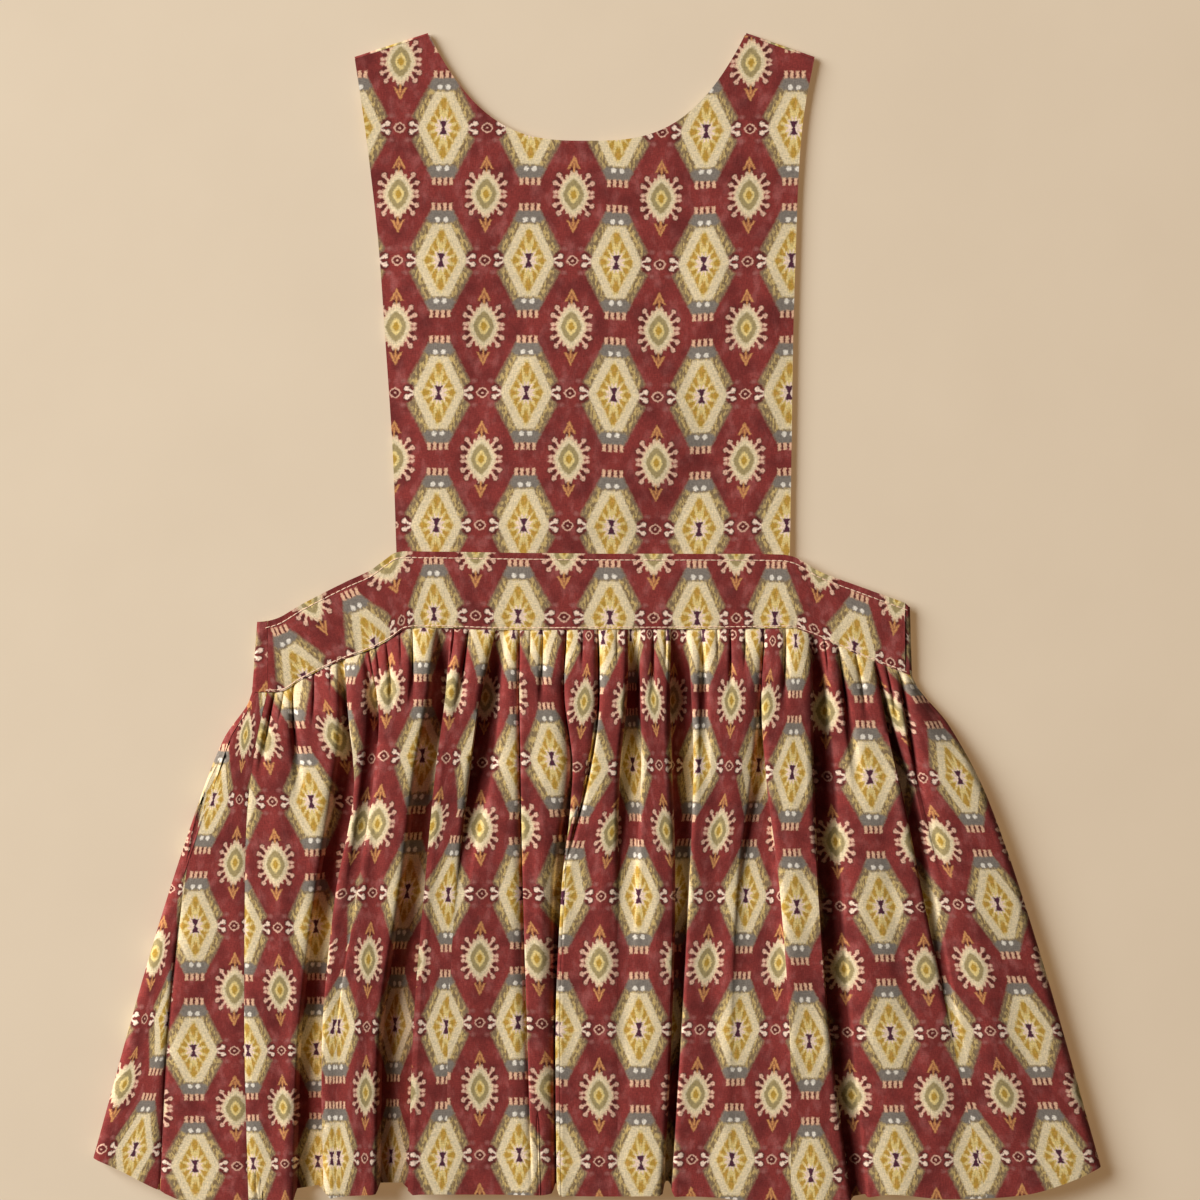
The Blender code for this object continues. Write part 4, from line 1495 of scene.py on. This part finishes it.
FOLDS = (
    Fold("left_crease", (-162.5, -179, -192, -200, -206, -209.5), (1, 1, 1, 1, 1, 1),
         (0, 0, 0.06, 0.3, 0.25, 0.12), 6, 5, 0, 9.5),
    Fold("side_seam", (-158, -164, -167.5, -168.5, -168.5, -166.5), (0, 0, 0, 0, 0, 0),
         (0, 0, 0, 0, 0, 0), 5, 5, 0, 10.5),
    Fold("first_pleat", (-124.5, -122.5, -127, -135, -142.5, -145), (3.5, 4.5, 11.5, 10.5, 12, 15),
         (0.9, 0.95, 0.95, 1, 1, 1), 5, 5, 1.3, 12.6),
    Fold("star_tuck", (-110, -105, -108, -115.5, -125, -126), (1.2, 1.2, 1.2, 1.2, 1.2, 1.2),
         (0.7, 0.6, 0.55, 0.45, 0, 0), 4, 4, 1.2, 12.8),
    Fold("second_pleat", (-77, -80, -86.5, -93, -103, -105), (7, 8, 10, 11.5, 16, 15),
         (0.98, 1, 1, 1, 0.92, 0.8), 3, 4, 1.3, 12.8),
    Fold("slant_tuck", (-49, -56, -61, -67, -71, -71.5), (5.5, 9.5, 11, 6, 5.5, 5.5),
         (0.9, 0.85, 0.66, 0.08, 0, 0), 2.5, 9, -1.2, 11.4, Side.LEFT),
    Fold("soft_edge", (-38, -38, -37.5, -36.5, -34.5, -32), (1.4, 1.4, 1.4, 1.4, 1.4, 1.4),
         (0.85, 0.75, 0.6, 0.45, 0.3, 0), 6, 3, 1.3, 12.4),
    Fold("third_pleat", (-15.5, -16.5, -13.5, -20.5, -21.5, -21), (1.5, 1.5, 2.5, 4.5, 2.5, 2.5),
         (0.85, 0.75, 0.75, 0.9, 0.95, 0.9), 7, 4, 1.3, 12.5),
    Fold("wedge_tuck", (-0.5, 0, -4.5, -15, -18, -17.5), (1.5, 1.5, 1.5, 1, 1, 1),
         (0.85, 0.75, 0.6, 0, 0, 0), 4, 4, 1.2, 12.8),
    Fold("short_trough", (14.5, 14, 10.5, 9.5, 9.5, 10), (6, 7, 11, 9.5, 7, 6.5),
         (0.97, 0.95, 0.8, 0.15, 0, 0), 2.5, 5, 0.8, 12.8, Side.LEFT),
    Fold("main_pleat", (35, 34.5, 35.5, 37, 35.5, 31.5), (8.5, 11, 11, 7.5, 5.5, 4.5),
         (1, 1, 1, 1, 1, 1), 2, 5, 0.9, 12.6, Side.LEFT),
    Fold("centre_tuck", (79.5, 77.5, 74.5, 67.5, 64.5, 63.5), (1.5, 1.5, 6.5, 20, 27.5, 29),
         (0.85, 0.75, 0.66, 0.24, 0.04, 0), 12, 3, 1.2, 13.4),
    Fold("fourth_pleat", (102.5, 102.5, 103, 105.5, 110.5, 121), (4.5, 8, 11, 11.5, 11, 8),
         (0.85, 0.88, 0.86, 0.8, 0.72, 0.5), 2.5, 20, -1.3, 11.0, Side.LEFT),
    Fold("right_pleat", (132.5, 138, 145.5, 156, 169.5, 186), (2, 4, 7, 6, 5, 5),
         (0.8, 0.88, 0.92, 0.6, 0.06, 0), 2.5, 14, -1.2, 10.2, Side.LEFT),
    Fold("right_tuck", (144, 148, 154.5, 168.5, 186, 203), (2.5, 3, 3.5, 4, 4, 4),
         (0.75, 0.55, 0.2, 0, 0, 0), 2.5, 5, -0.6, 9.8),
)
FIRST_CREST = 8.8
SEAM_LINE = 2

GATHERS = (
    Gather(-154.5, 0.18, 0.8),
    Gather(-150.0, 0.07, 0.5),
    Gather(-145.5, 0.24, 0.85, 9.0),
    Gather(-135.5, 0.12, 0.5),
    Gather(-128.0, 0.06, 0.5),
    Gather(-111.5, 0.55, 0.5),
    Gather(-106.0, 0.08, 0.5),
    Gather(-101.0, 0.14, 0.5),
    Gather(-94.5, 0.07, 0.5),
    Gather(-88.5, 0.16, 0.6),
    Gather(-68.5, 0.12, 0.75),
    Gather(-61.5, 0.18, 0.65),
    Gather(-32.0, 0.07, 0.4),
    Gather(-26.0, 0.16, 0.55),
    Gather(-7.0, 0.08, 0.45),
    Gather(0.5, 0.18, 0.75),
    Gather(9.5, 0.07, 0.5),
    Gather(27.0, 0.14, 0.5),
    Gather(33.0, 0.08, 0.5),
    Gather(50.0, 0.32, 0.4),
    Gather(57.5, 0.07, 0.5),
    Gather(64.0, 0.12, 0.6),
    Gather(71.0, 0.08, 0.5),
    Gather(90.5, 0.16, 0.55),
    Gather(109.0, 0.08, 0.5),
    Gather(115.5, 0.30, 0.65),
    Gather(124.0, 0.14, 0.4),
    Gather(138.5, 0.14, 0.5),
)

PRINT_HEIGHTS = (14, 72, 101, 130, 158, 197, 264)
PANELS = (
    Panel(0, 1, 0.0, (-169, -180, -187, -193, -200, -206, -224),
          (6, 10, 12, 9, 10, 11.5, 16), (18, -2.4, -2.4, -2.4)),
    Panel(1, 2, 0.0, (-169, -180, -187, -192, -192, -193, -192),
          (6, 10, 15, 18, 19, 19.5, 20), (18, 16, 14, 5)),
    Panel(2, 3, 0.5, (-169, -156, -154, -153, -152, -151, -149),
          (16, 18, 19, 18, 17, 16, 15), (19, 17, 14, 3.5)),
    Panel(3, 4, 0.5, (-105, -108, -113, -121, -130, -137, -137),
          (12, 14, 15, 15, 13, 11, 11), (-2, 0, 1, 1.4)),
    Panel(4, 5, 0.5, (-98, -102, -105, -107, -109, -110, -111),
          (15, 18, 17, 16, 14, 13, 12), (-3.4, -0.5, 1, 1.4)),
    Panel(5, 6, 0.0, (-53, -58, -67, -71, -71, -72, -74),
          (14, 14, 11, 15, 15, 16, 18), (-2.4, 0.5, 1, 1.9)),
    Panel(6, 7, 1.0, (-40, -36, -38, -36, -37, -38, -37),
          (12, 19, 18, 19, 19, 18, 19), (0, 0, -1, 0)),
    Panel(7, 8, -0.5, (-41, -39, -36, -34, -29, -26, -18),
          (14, 18, 19, 20, 20, 20, 19), (-2, 0, -0.5, 0)),
    Panel(8, 9, 0.5, (-4, -9, -11, -33, -35, -37, -37),
          (12, 16, 16, 18, 18, 18, 18), (1.9, 1.9, 1.9, 1.9)),
    Panel(9, 10, 0.5, (16, 13, 7, 2, 1, 1, 1),
          (13, 18, 15, 18, 19, 19, 20), (2.7, 1, 2.4, 2.9)),
    Panel(10, 11, 0.0, (16, 17, 19, 20, 20, 20, 21),
          (9, 13, 14, 17, 19, 19, 20), (1, 1, 2.4, 3.6)),
    Panel(11, 12, 1.0, (79, 77, 73, 71, 70, 67, 64),
          (14, 14, 15, 17, 17, 18, 19), (1.4, 1, 2.4, 1.9)),
    Panel(12, 13, 2.0, (95, 93, 92, 95, 96, 101, 102),
          (11, 15, 16, 18, 17, 17, 18), (4.3, 6, 7.7, 9.4)),
    Panel(13, 14, 0.0, (125, 130, 132, 135, 137, 140, 143),
          (16, 20, 18, 19, 19, 20, 19), (6.7, 6.7, 4.3, 2.1)),
    Panel(14, 16, 0.5, (128, 155, 163, 171, 178, 188, 203),
          (15, 17, 18, 19, 19, 19, 20), (7.2, 5.4, 3.2, 0.6)),
)
DROP_HEIGHTS = (72.0, 129.6, 196.8, 264.0)
FIRST_ROW = 68.2
SKIRT_REPEAT_DOWN = 62.4

FRONT_HEM = (
    (-241.4, -257.3), (-228.5, -263.0), (-215.0, -270.0), (-197.0, -278.0), (-171.0, -281.8),
    (-145.0, -278.6),
    (-118.0, -274.8), (-60.0, -274.2), (0.0, -275.0), (54.0, -275.4), (97.0, -280.4), (123.0, -278.4),
    (141.0, -274.6), (166.0, -276.6), (205.0, -274.6), (228.0, -267.8), (241.4, -261.5),
)
BACK_HEM = ((-241.4, -257.3), (-215.0, -264.5), (-180.0, -266.5), (200.0, -266.5), (241.4, -261.5))
HEM_PULL = 6.0

SKIRT_CREASES = (
    SoftFold((-196.0, -120.0), (-214.0, -262.0), 6.0, 1.0),
    SoftFold((-178.0, -90.0), (-184.0, -230.0), 5.0, -0.8),
    SoftFold((-152.0, -60.0), (-150.0, -190.0), 4.5, 0.9),
    SoftFold((-144.0, -130.0), (-156.0, -270.0), 5.0, -0.9),
    SoftFold((-108.0, -50.0), (-104.0, -180.0), 4.5, -1.0),
    SoftFold((-113.0, -150.0), (-118.0, -270.0), 4.0, 0.7),
    SoftFold((-62.0, -90.0), (-58.0, -220.0), 5.0, 0.8),
    SoftFold((-50.0, -160.0), (-48.0, -272.0), 4.0, -0.7),
    SoftFold((-26.0, -60.0), (-28.0, -190.0), 3.5, 0.7),
    SoftFold((2.0, -60.0), (4.0, -210.0), 4.5, 0.8),
    SoftFold((14.0, -150.0), (10.0, -272.0), 4.0, -0.8),
    SoftFold((28.0, -70.0), (28.0, -200.0), 3.5, 0.6),
    SoftFold((58.0, -60.0), (54.0, -230.0), 5.0, -0.9),
    SoftFold((66.0, -120.0), (60.0, -272.0), 4.0, 0.8),
    SoftFold((92.0, -80.0), (94.0, -250.0), 4.5, 0.8),
    SoftFold((118.0, -70.0), (134.0, -230.0), 5.0, 0.9),
    SoftFold((134.0, -70.0), (152.0, -220.0), 4.5, -0.8),
    SoftFold((156.0, -180.0), (166.0, -274.0), 6.0, 0.9),
    SoftFold((176.0, -120.0), (198.0, -262.0), 6.0, 0.9),
    SoftFold((192.0, -150.0), (220.0, -264.0), 4.5, -0.8),
)


@dataclass
class Skirt:
    """The gathered skirt: its front, and its back, which comes round to the seam at the front's left.

    Levels run from 0 at the band's lower edge to 1 at the hem.

    Attributes:
        band: The waistband that it hangs from.
        row_count: Rows from waist to hem.
        span_steps: Columns of a panel between one fold and the next.
        fold_steps: Columns of a long fold's strip.
        gather_steps: Columns of a short gather's strip.
        tucked: How far its top runs up under the band, as a level.
        side_full: Height of its rounded sides.
        flap: How far the front reaches under at its right side.
        seam_half_gap: Half the gap between front and back at the left seam.
        seam_dent: How deep the seam lies, and half the width of its dent.
        thickness: Thickness of the cloth.
        cotton: Its finish.
    """

    band: Waistband
    row_count: int = 104
    span_steps: int = 7
    fold_steps: int = 6
    gather_steps: int = 2
    tucked: float = 0.011
    side_full: float = 8.6
    flap: float = 12.0
    seam_half_gap: float = 0.08
    seam_dent: tuple[float, float] = (0.55, 1.3)
    thickness: float = 0.9
    cotton: KilimCotton = KilimCotton()

    def __post_init__(self) -> None:
        """Work out the valleys, the columns of both pieces and the rows."""
        turns = [partial(self.turn_start, side=side) for side in (-1, 1)]
        ends = [Valley(turn, turn, lambda level: 0.0, (4.5, 4.5)) for turn in turns]
        self.long = [ends[0], *(fold.valley() for fold in FOLDS), ends[1]]
        self.valleys = list(self.long)
        for gather in GATHERS:
            after = next(valley for valley in self.long if valley.left(0.0) > gather.waist)
            self.valleys.append(gather.valley(self.long[self.long.index(after) - 1], after))
        self.valleys.sort(key=lambda valley: valley.left(0.0))
        self.crests = (FIRST_CREST, *(fold.crest for fold in FOLDS))
        self.seam_index = self.valleys.index(self.long[SEAM_LINE])
        self.stretches = {
            True: self.find_stretches(self.seam_index, len(self.valleys) - 1),
            False: self.find_stretches(0, self.seam_index),
        }
        falling = np.linspace(0, 1, self.row_count) ** 1.3
        self.levels = np.concatenate([[-self.tucked, -0.4 * self.tucked], falling])

    def side_height(self, level: float) -> float:
        """Height of the rounded sides at a level."""
        return mix(LIES_THIRD, self.side_full, float(ease(level / 0.2)))

    def side_radius(self, level: float) -> float:
        """Radius of the turn under at the sides."""
        return (self.side_height(level) - LIES_LOW) / 2

    def turn_start(self, level: float, side: int) -> float:
        """X where the upper layer meets its turn at a side, 1 for the right and -1 for the left."""
        edge = float(smooth_line(EDGE_LEVELS, RIGHT_EDGE if side > 0 else LEFT_EDGE, level))
        return edge - side * (OUTLINE_INSET + self.side_radius(level))

    def crest_height(self, x: np.ndarray, level: float) -> np.ndarray:
        """Height of the panels over a row, before any strip is cut into them.

        Args:
            x: Nominal places across.
            level: Level of the row.

        Returns:
            Heights in millimetres.
        """
        first, last = self.long[0].left(level), self.long[-1].left(level)
        spans = zip(self.long, self.long[1:])
        middles = [(before.right(level) + after.left(level)) / 2 for before, after in spans]
        side = self.side_height(level)
        crest = np.interp(x, [first, *middles, last], [side, *self.crests, side])
        return mix(LIES_THIRD, crest, float(ease((level - 0.002) / 0.09)) ** 0.55)

    def upper_row(self, x: np.ndarray, level: float) -> tuple[np.ndarray, np.ndarray]:
        """Place and height of the upper layer over a row.

        Args:
            x: Nominal places across.
            level: Level of the row.

        Returns:
            Places across and heights.
        """
        kept = np.ones_like(x)
        moved = x.copy()
        for valley in self.valleys:
            taken, leaning = valley.cut(x, level)
            kept = kept * (1 - taken)
            moved = moved + leaning
        inside = np.minimum(x - self.turn_start(level, -1), self.turn_start(level, 1) - x)
        kept = mix(1.0, kept, ease(np.minimum(1.0, inside / 6)))
        tuck = 1.2 * (1 - float(ease((level + self.tucked) / 0.018)))
        height = LIES_SECOND + (self.crest_height(x, level) - LIES_SECOND) * kept - tuck
        return moved, np.maximum(height, LIES_SECOND - 0.05)

    def find_stretches(self, first: int, last: int) -> list[tuple[Callable, Callable, int, int]]:
        """Stretches of columns of the upper layer: the panels' and the sunken strips'.

        Args:
            first: Index of the first valley.
            last: Index of the last valley.

        Returns:
            Left end, right end, number of columns and panel of the print for each.
        """
        lines = [self.valleys.index(valley) for valley in self.long]
        panels = []
        for number, panel in enumerate(PANELS):
            panels += [number] * (lines[panel.last_line] - lines[panel.first_line])
        stretches = []
        for index in range(first, last):
            before, after = self.valleys[index:index + 2]
            stretches.append((before.right, after.left, self.span_steps, panels[index]))
            if after.is_strip:
                steps = self.fold_steps if after in self.long else self.gather_steps
                owner = panels[index if after.breaks is Side.RIGHT else index + 1]
                stretches.append((after.left, after.right, steps, owner))
        return stretches

    def upper_columns(self, is_front: bool, level: float) -> np.ndarray:
        """Nominal places of a piece's columns in the upper layer, just clear of the seam.

        Args:
            is_front: True for the front, False for the back.
            level: Level of the row.

        Returns:
            Places across.
        """
        places = []
        for start, end, steps, _ in self.stretches[is_front]:
            spacing = (1 - np.cos(math.pi * np.arange(steps) / steps)) / 2
            places.append(start(level) + (end(level) - start(level)) * spacing)
        row = np.concatenate(places + [[self.valleys[-1 if is_front else self.seam_index].left(level)]])
        row[0 if is_front else -1] += self.seam_half_gap * (1 if is_front else -1)
        return row

    def print_place(self, x: np.ndarray, y: np.ndarray, panels: Sequence[int]) -> np.ndarray:
        """Place in the print of the upper layer.

        Args:
            x: Nominal places across, rows by columns.
            y: Places up.
            panels: Panel of each column.

        Returns:
            Repeats across and down.
        """
        result = np.zeros(x.shape + (2,))
        for number, panel in enumerate(PANELS):
            guide, half = (np.interp(-y, PRINT_HEIGHTS, row) for row in (panel.places, panel.halves))
            across = panel.repeat + (x - guide) / (2 * half) + number * 3
            down = (-y - FIRST_ROW - np.interp(-y, DROP_HEIGHTS, panel.drops)) / SKIRT_REPEAT_DOWN
            chosen = np.broadcast_to(np.equal(panels, number), x.shape)[..., None]
            result = np.where(chosen, np.stack([across, down], -1), result)
        return result

    def hem(self, x: np.ndarray, on_front: bool) -> np.ndarray:
        """Y of the hem, drawn up where a deep fold takes in the front's cloth.

        Args:
            x: Nominal places across.
            on_front: True for the front's hem, False for the back's.

        Returns:
            Places up.
        """
        places, heights = zip(*(FRONT_HEM if on_front else BACK_HEM))
        pulls = [HEM_PULL * valley.cut(x, 1.0)[0] for valley in self.long] if on_front else []
        return sum(pulls, start=smooth_line(places, heights, x))

    def layered_row(self, level: float, is_front: bool) -> tuple[np.ndarray, ...]:
        """One row of a whole piece: its upper layer, its turn at the side and its flap or floor layer.

        Args:
            level: Level of the row.
            is_front: True for the front, False for the back.

        Returns:
            Nominal places, places and heights, and whether each column belongs to the upper layer.
        """
        held = max(level, 0.0)
        side = 1 if is_front else -1
        nominal = self.upper_columns(is_front, held)
        moved, height = self.upper_row(nominal, level)
        depth, half_width = self.seam_dent
        beside = nominal - self.valleys[self.seam_index].left(held)
        height = height - depth * np.exp(-(beside / half_width) ** 2) * float(ease((level - 0.02) / 0.08))
        radius = self.side_radius(held)
        angle = np.linspace(0, math.pi, 13)[1:]
        turn = self.turn_start(held, side) + side * radius * np.sin(angle)
        if is_front:
            floor = turn[-1] - self.flap * np.linspace(0, 1, 5)[1:]
        else:
            floor = np.linspace(self.turn_start(held, 1) - self.flap - 0.3, turn[-1], 30)[-2::-1]
        under = np.concatenate([turn, floor])
        turn_height = LIES_LOW + radius * (1 + np.cos(angle))
        under_height = np.concatenate([turn_height, np.full(len(floor), LIES_LOW)])
        is_high = under_height > LIES_LOW + radius
        layers = ((nominal, under), (moved, under), (height, under_height), (np.ones(len(nominal)), is_high))
        if is_front:
            return tuple(np.concatenate([upper, lower]) for upper, lower in layers)
        return tuple(np.concatenate([lower[::-1], upper]) for upper, lower in layers)

    def grid(self, is_front: bool) -> ClothGrid:
        """Lay out the front or the back.

        Args:
            is_front: True for the front, False for the back.

        Returns:
            The cloth.
        """
        rows = [self.layered_row(level, is_front) for level in self.levels]
        nominal, x, z, layers = (np.array(part) for part in zip(*rows))
        upper = layers[0] > 0
        seam_y = np.where(upper, self.band.lower_edge(x[2]), self.band.back_y(x[2], 1.0) - 0.3)
        hem_y = np.where(upper, self.hem(x[-1], True), self.hem(x[-1], False))
        y = mix(seam_y, hem_y, np.maximum(self.levels[:, None], np.where(upper, -1.0, 0.0)))
        z = z + sum(crease.rise(x, y) for crease in SKIRT_CREASES) * ease((z - 5.0) / 4.0)
        points = np.stack([x, y, z], -1)
        panels = [panel for *_, steps, panel in self.stretches[is_front] for _ in range(steps)]
        count = len(panels) + 1
        own = slice(0, count) if is_front else slice(-count, None)
        print_at, print_before = (np.zeros(x.shape + (2,)) for _ in range(2))
        print_at[:, own] = self.print_place(nominal[:, own], y[:, own], panels + panels[-1:])
        print_before[:, own] = self.print_place(nominal[:, own], y[:, own], panels[:1] + panels)
        run = np.linalg.norm(np.diff(points, axis=1), axis=2) / REPEAT_ACROSS
        step = 1 if is_front else -1
        for column in range(count, x.shape[1]) if is_front else range(x.shape[1] - count - 1, -1, -1):
            known = column - step
            across = print_at[:, known, 0] + step * run[:, min(column, known)]
            down = print_at[:, known, 1] + (y[:, known] - y[:, column]) / SKIRT_REPEAT_DOWN
            print_at[:, column] = print_before[:, column] = np.stack([across, down], -1)
        return ClothGrid(points, print_at, print_before, self.thickness)

    def build(self) -> None:
        """Make the front and the back of the skirt."""
        front = Cut("skirt_front", Slot.SKIRT, (0.62, 0.265), Lies.GATHERED, ("skirt_back",))
        front.place(self.grid(True), self.cotton.material("skirt_front_print"))
        back = Cut("skirt_back", Slot.SKIRT, (0.54, 0.262), Lies.GATHERED)
        back.place(self.grid(False), self.cotton.material("skirt_back_print"))


# Topstitching -----------------------------------------------------------------------------------------------

@dataclass(frozen=True)
class StitchRow:
    """A row of machine stitches along a path.

    Attributes:
        name: Name of the row.
        path: Points of the path in millimetres.
        pitch: Distance from one stitch to the next.
        length: Length of the thread that shows in each.
        thread: Thickness of the thread.
    """

    name: str
    path: np.ndarray
    pitch: float
    length: float
    thread: float


@dataclass
class Topstitching:
    """Rows of stitches laid along the waistband by one tree of Geometry Nodes.

    Attributes:
        rows: The rows.
        thread: Finish of the thread.
        seed: Seed of the stitches' small differences.
        sizes: Least and largest factor on a stitch's thickness, twice, and on its length.
        turns: Least and largest turn of a stitch, in radians.
        inputs: Identifier of each of the tree's inputs, by its label.
    """

    rows: Sequence[StitchRow]
    thread: PlainFinish = PlainFinish((0.86, 0.60, 0.44), 0.1, 2500.0, 0.6, 0.03)
    seed: int = 7
    sizes: tuple[tuple[float, float, float], ...] = ((0.85, 0.85, 0.88), (1.15, 1.15, 1.06))
    turns: tuple[tuple[float, float, float], ...] = ((-0.02, -0.05, 0.0), (0.02, 0.05, 0.0))
    inputs: dict[str, str] = field(default_factory=dict)

    def tree(self, material: bpy.types.Material) -> bpy.types.NodeTree:
        """Build the tree that lays stitches along a curve.

        Args:
            material: Finish of the thread.

        Returns:
            The tree.
        """
        tree = bpy.data.node_groups.new("stitches_along_path", "GeometryNodeTree")
        for direction in ("INPUT", "OUTPUT"):
            tree.interface.new_socket("Geometry", in_out=direction, socket_type="NodeSocketGeometry")
        for label in ("Pitch", "Length", "Thread"):
            socket = tree.interface.new_socket(label, in_out="INPUT", socket_type="NodeSocketFloat")
            self.inputs[label] = socket.identifier
        given = tree.nodes.new("NodeGroupInput").outputs
        route = {"Curve": given["Geometry"], "Length": given["Pitch"]}
        points = add_node(tree, "GeometryNodeCurveToPoints", route, mode="LENGTH").outputs
        stitch = add_node(tree, "GeometryNodeMeshUVSphere", {"Segments": 10, "Rings": 6, "Radius": 0.5})
        sides = {0: given["Thread"], 1: given["Thread"], 2: given["Length"]}
        size = add_node(tree, "ShaderNodeCombineXYZ", sides)
        uneven, turned = (
            add_node(
                tree, "FunctionNodeRandomValue", {"Min": least, "Max": largest, "Seed": seed},
                data_type="FLOAT_VECTOR",
            ).outputs["Value"]
            for (least, largest), seed in ((self.sizes, self.seed), (self.turns, self.seed + 1))
        )
        scaled = add_node(tree, "ShaderNodeVectorMath", {0: size.outputs[0], 1: uneven}, operation="MULTIPLY")
        rotated = add_node(
            tree, "FunctionNodeRotateRotation", {"Rotation": points["Rotation"], "Rotate By": turned},
            rotation_space="LOCAL",
        )
        placed = add_node(tree, "GeometryNodeInstanceOnPoints", {
            "Points": points["Points"], "Instance": stitch.outputs["Mesh"],
            "Rotation": rotated.outputs["Rotation"], "Scale": scaled.outputs[0],
        })
        real = add_node(tree, "GeometryNodeRealizeInstances", {"Geometry": placed.outputs["Instances"]})
        finish = add_node(tree, "GeometryNodeSetMaterial", {
            "Geometry": real.outputs["Geometry"], "Material": material,
        })
        add_node(tree, "NodeGroupOutput", {"Geometry": finish.outputs["Geometry"]})
        return tree

    def row_mesh(self, row: StitchRow, tree: bpy.types.NodeTree) -> bpy.types.Mesh:
        """Lay one row and turn it into a plain mesh.

        Args:
            row: The row.
            tree: The tree that lays stitches.

        Returns:
            Its mesh.
        """
        curve = bpy.data.curves.new(row.name, "CURVE")
        curve.dimensions = "3D"
        spline = curve.splines.new("POLY")
        spline.points.add(len(row.path) - 1)
        for point, place in zip(spline.points, row.path):
            point.co = (*(place * MM), 1.0)
        item = show(row.name, curve)
        layer = item.modifiers.new("stitches", "NODES")
        layer.node_group = tree
        for label, value in (("Pitch", row.pitch), ("Length", row.length), ("Thread", row.thread)):
            layer[self.inputs[label]] = value * MM
        bpy.context.view_layer.update()
        graph = bpy.context.evaluated_depsgraph_get()
        mesh = bpy.data.meshes.new_from_object(item.evaluated_get(graph), depsgraph=graph)
        bpy.data.objects.remove(item, do_unlink=True)
        return mesh

    def build(self) -> None:
        """Make all rows as one piece."""
        material = self.thread.material("topstitch_thread")
        tree = self.tree(material)
        corners: list[tuple[float, float, float]] = []
        faces: list[tuple[int, ...]] = []
        for row in self.rows:
            part = self.row_mesh(row, tree)
            start = len(corners)
            corners += [tuple(vertex.co) for vertex in part.vertices]
            faces += [tuple(start + index for index in face.vertices) for face in part.polygons]
            bpy.data.meshes.remove(part)
        mesh = bpy.data.meshes.new("topstitching")
        mesh.from_pydata(corners, [], faces)
        mesh.shade_smooth()
        mesh.materials.append(material)
        item = show("topstitching", mesh)
        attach(item, "root")
        log.info("topstitching: %d faces in %d rows", len(faces), len(self.rows))


# Studio -----------------------------------------------------------------------------------------------------

@dataclass
class Studio:
    """Plain pale floor, soft light from the upper left, and the camera straight above. Sizes are in metres.

    Attributes:
        floor_half: Half the floor's side.
        floor_z: Height of the floor, just under the cloth.
        paper: Finish of the floor, with a painted glow that lifts the shadows cast on it and keeps them warm.
        lamp_place: Where the square lamp hangs.
        lamp_size: Side of the lamp.
        lamp_watts: Its power.
        lamp_colour: Its colour.
        room_colour: Colour of the light all round.
        room_strength: Strength of that light.
        frame_width: Width of what the camera sees on the floor.
        aim: Middle of the view.
        distance: Height of the camera.
        sensor: Width of its sensor in millimetres.
    """

    floor_half: float = 3.0
    floor_z: float = -0.0006
    paper: PlainFinish = PlainFinish((0.500, 0.470, 0.395), 0.02, 14.0, 0.9, 0.3, (0.240, 0.138, 0.062))
    lamp_place: tuple[float, float, float] = (-4.35, 1.94, 2.75)
    lamp_size: float = 3.6
    lamp_watts: float = 596.0
    lamp_colour: Colour = (1.0, 0.97, 0.925)
    room_colour: Colour = (1.0, 0.80, 0.62)
    room_strength: float = 0.03
    frame_width: float = 0.576
    aim: tuple[float, float] = (0.0014, 0.0096)
    distance: float = 2.2
    sensor: float = 36.0

    def lay_floor(self) -> None:
        """Lay the floor."""
        half = self.floor_half
        mesh = bpy.data.meshes.new("floor")
        square = ((-half, -half), (half, -half), (half, half), (-half, half))
        corners = [(x, y, self.floor_z) for x, y in square]
        mesh.from_pydata(corners, [], [(0, 1, 2, 3)])
        mesh.materials.append(self.paper.material("floor_paper"))
        show("floor", mesh)

    def hang_lamp(self) -> None:
        """Hang the soft square lamp, pointed at the garment."""
        light = bpy.data.lights.new("key", "AREA")
        light.size = self.lamp_size
        light.energy = self.lamp_watts
        light.color = self.lamp_colour
        item = show("key", light)
        item.location = self.lamp_place
        item.rotation_euler = (-Vector(self.lamp_place)).to_track_quat("-Z", "Y").to_euler()

    def set_camera(self) -> None:
        """Set the camera straight above the garment."""
        lens = bpy.data.cameras.new("camera")
        lens.sensor_width = self.sensor
        lens.lens = self.sensor * self.distance / self.frame_width
        lens.clip_end = 20.0
        item = show("camera", lens)
        item.location = (*self.aim, self.distance)
        bpy.context.scene.camera = item

    def fill_room(self) -> None:
        """Fill the room with soft light."""
        world = bpy.data.worlds.new("soft_room")
        world.use_nodes = True
        feed(world.node_tree.nodes["Background"], {
            "Color": (*self.room_colour, 1.0), "Strength": self.room_strength,
        })
        bpy.context.scene.world = world
        bpy.context.scene.view_settings.view_transform = "Standard"

    def build(self) -> None:
        """Set up the whole studio."""
        self.fill_room()
        self.lay_floor()
        self.hang_lamp()
        self.set_camera()


def main() -> None:
    """Build the garment and the studio."""
    logging.basicConfig(level=logging.INFO, format="%(name)s: %(message)s")
    Studio().build()
    bib = Bib()
    bib.build()
    BackStrap("strap_left", *bib.shoulders[0], False).build()
    BackStrap("strap_right", *bib.shoulders[1], True).build()
    band = Waistband()
    band.build()
    Skirt(band).build()
    Topstitching((
        StitchRow("upper_edge", band.stitch_line(band.stitch_inset_upper, True), 2.9, 3.05, 0.56),
        StitchRow("lower_edge", band.stitch_line(band.stitch_inset_lower, False), 2.7, 2.85, 0.56),
    )).build()


if __name__ == "__main__":
    main()
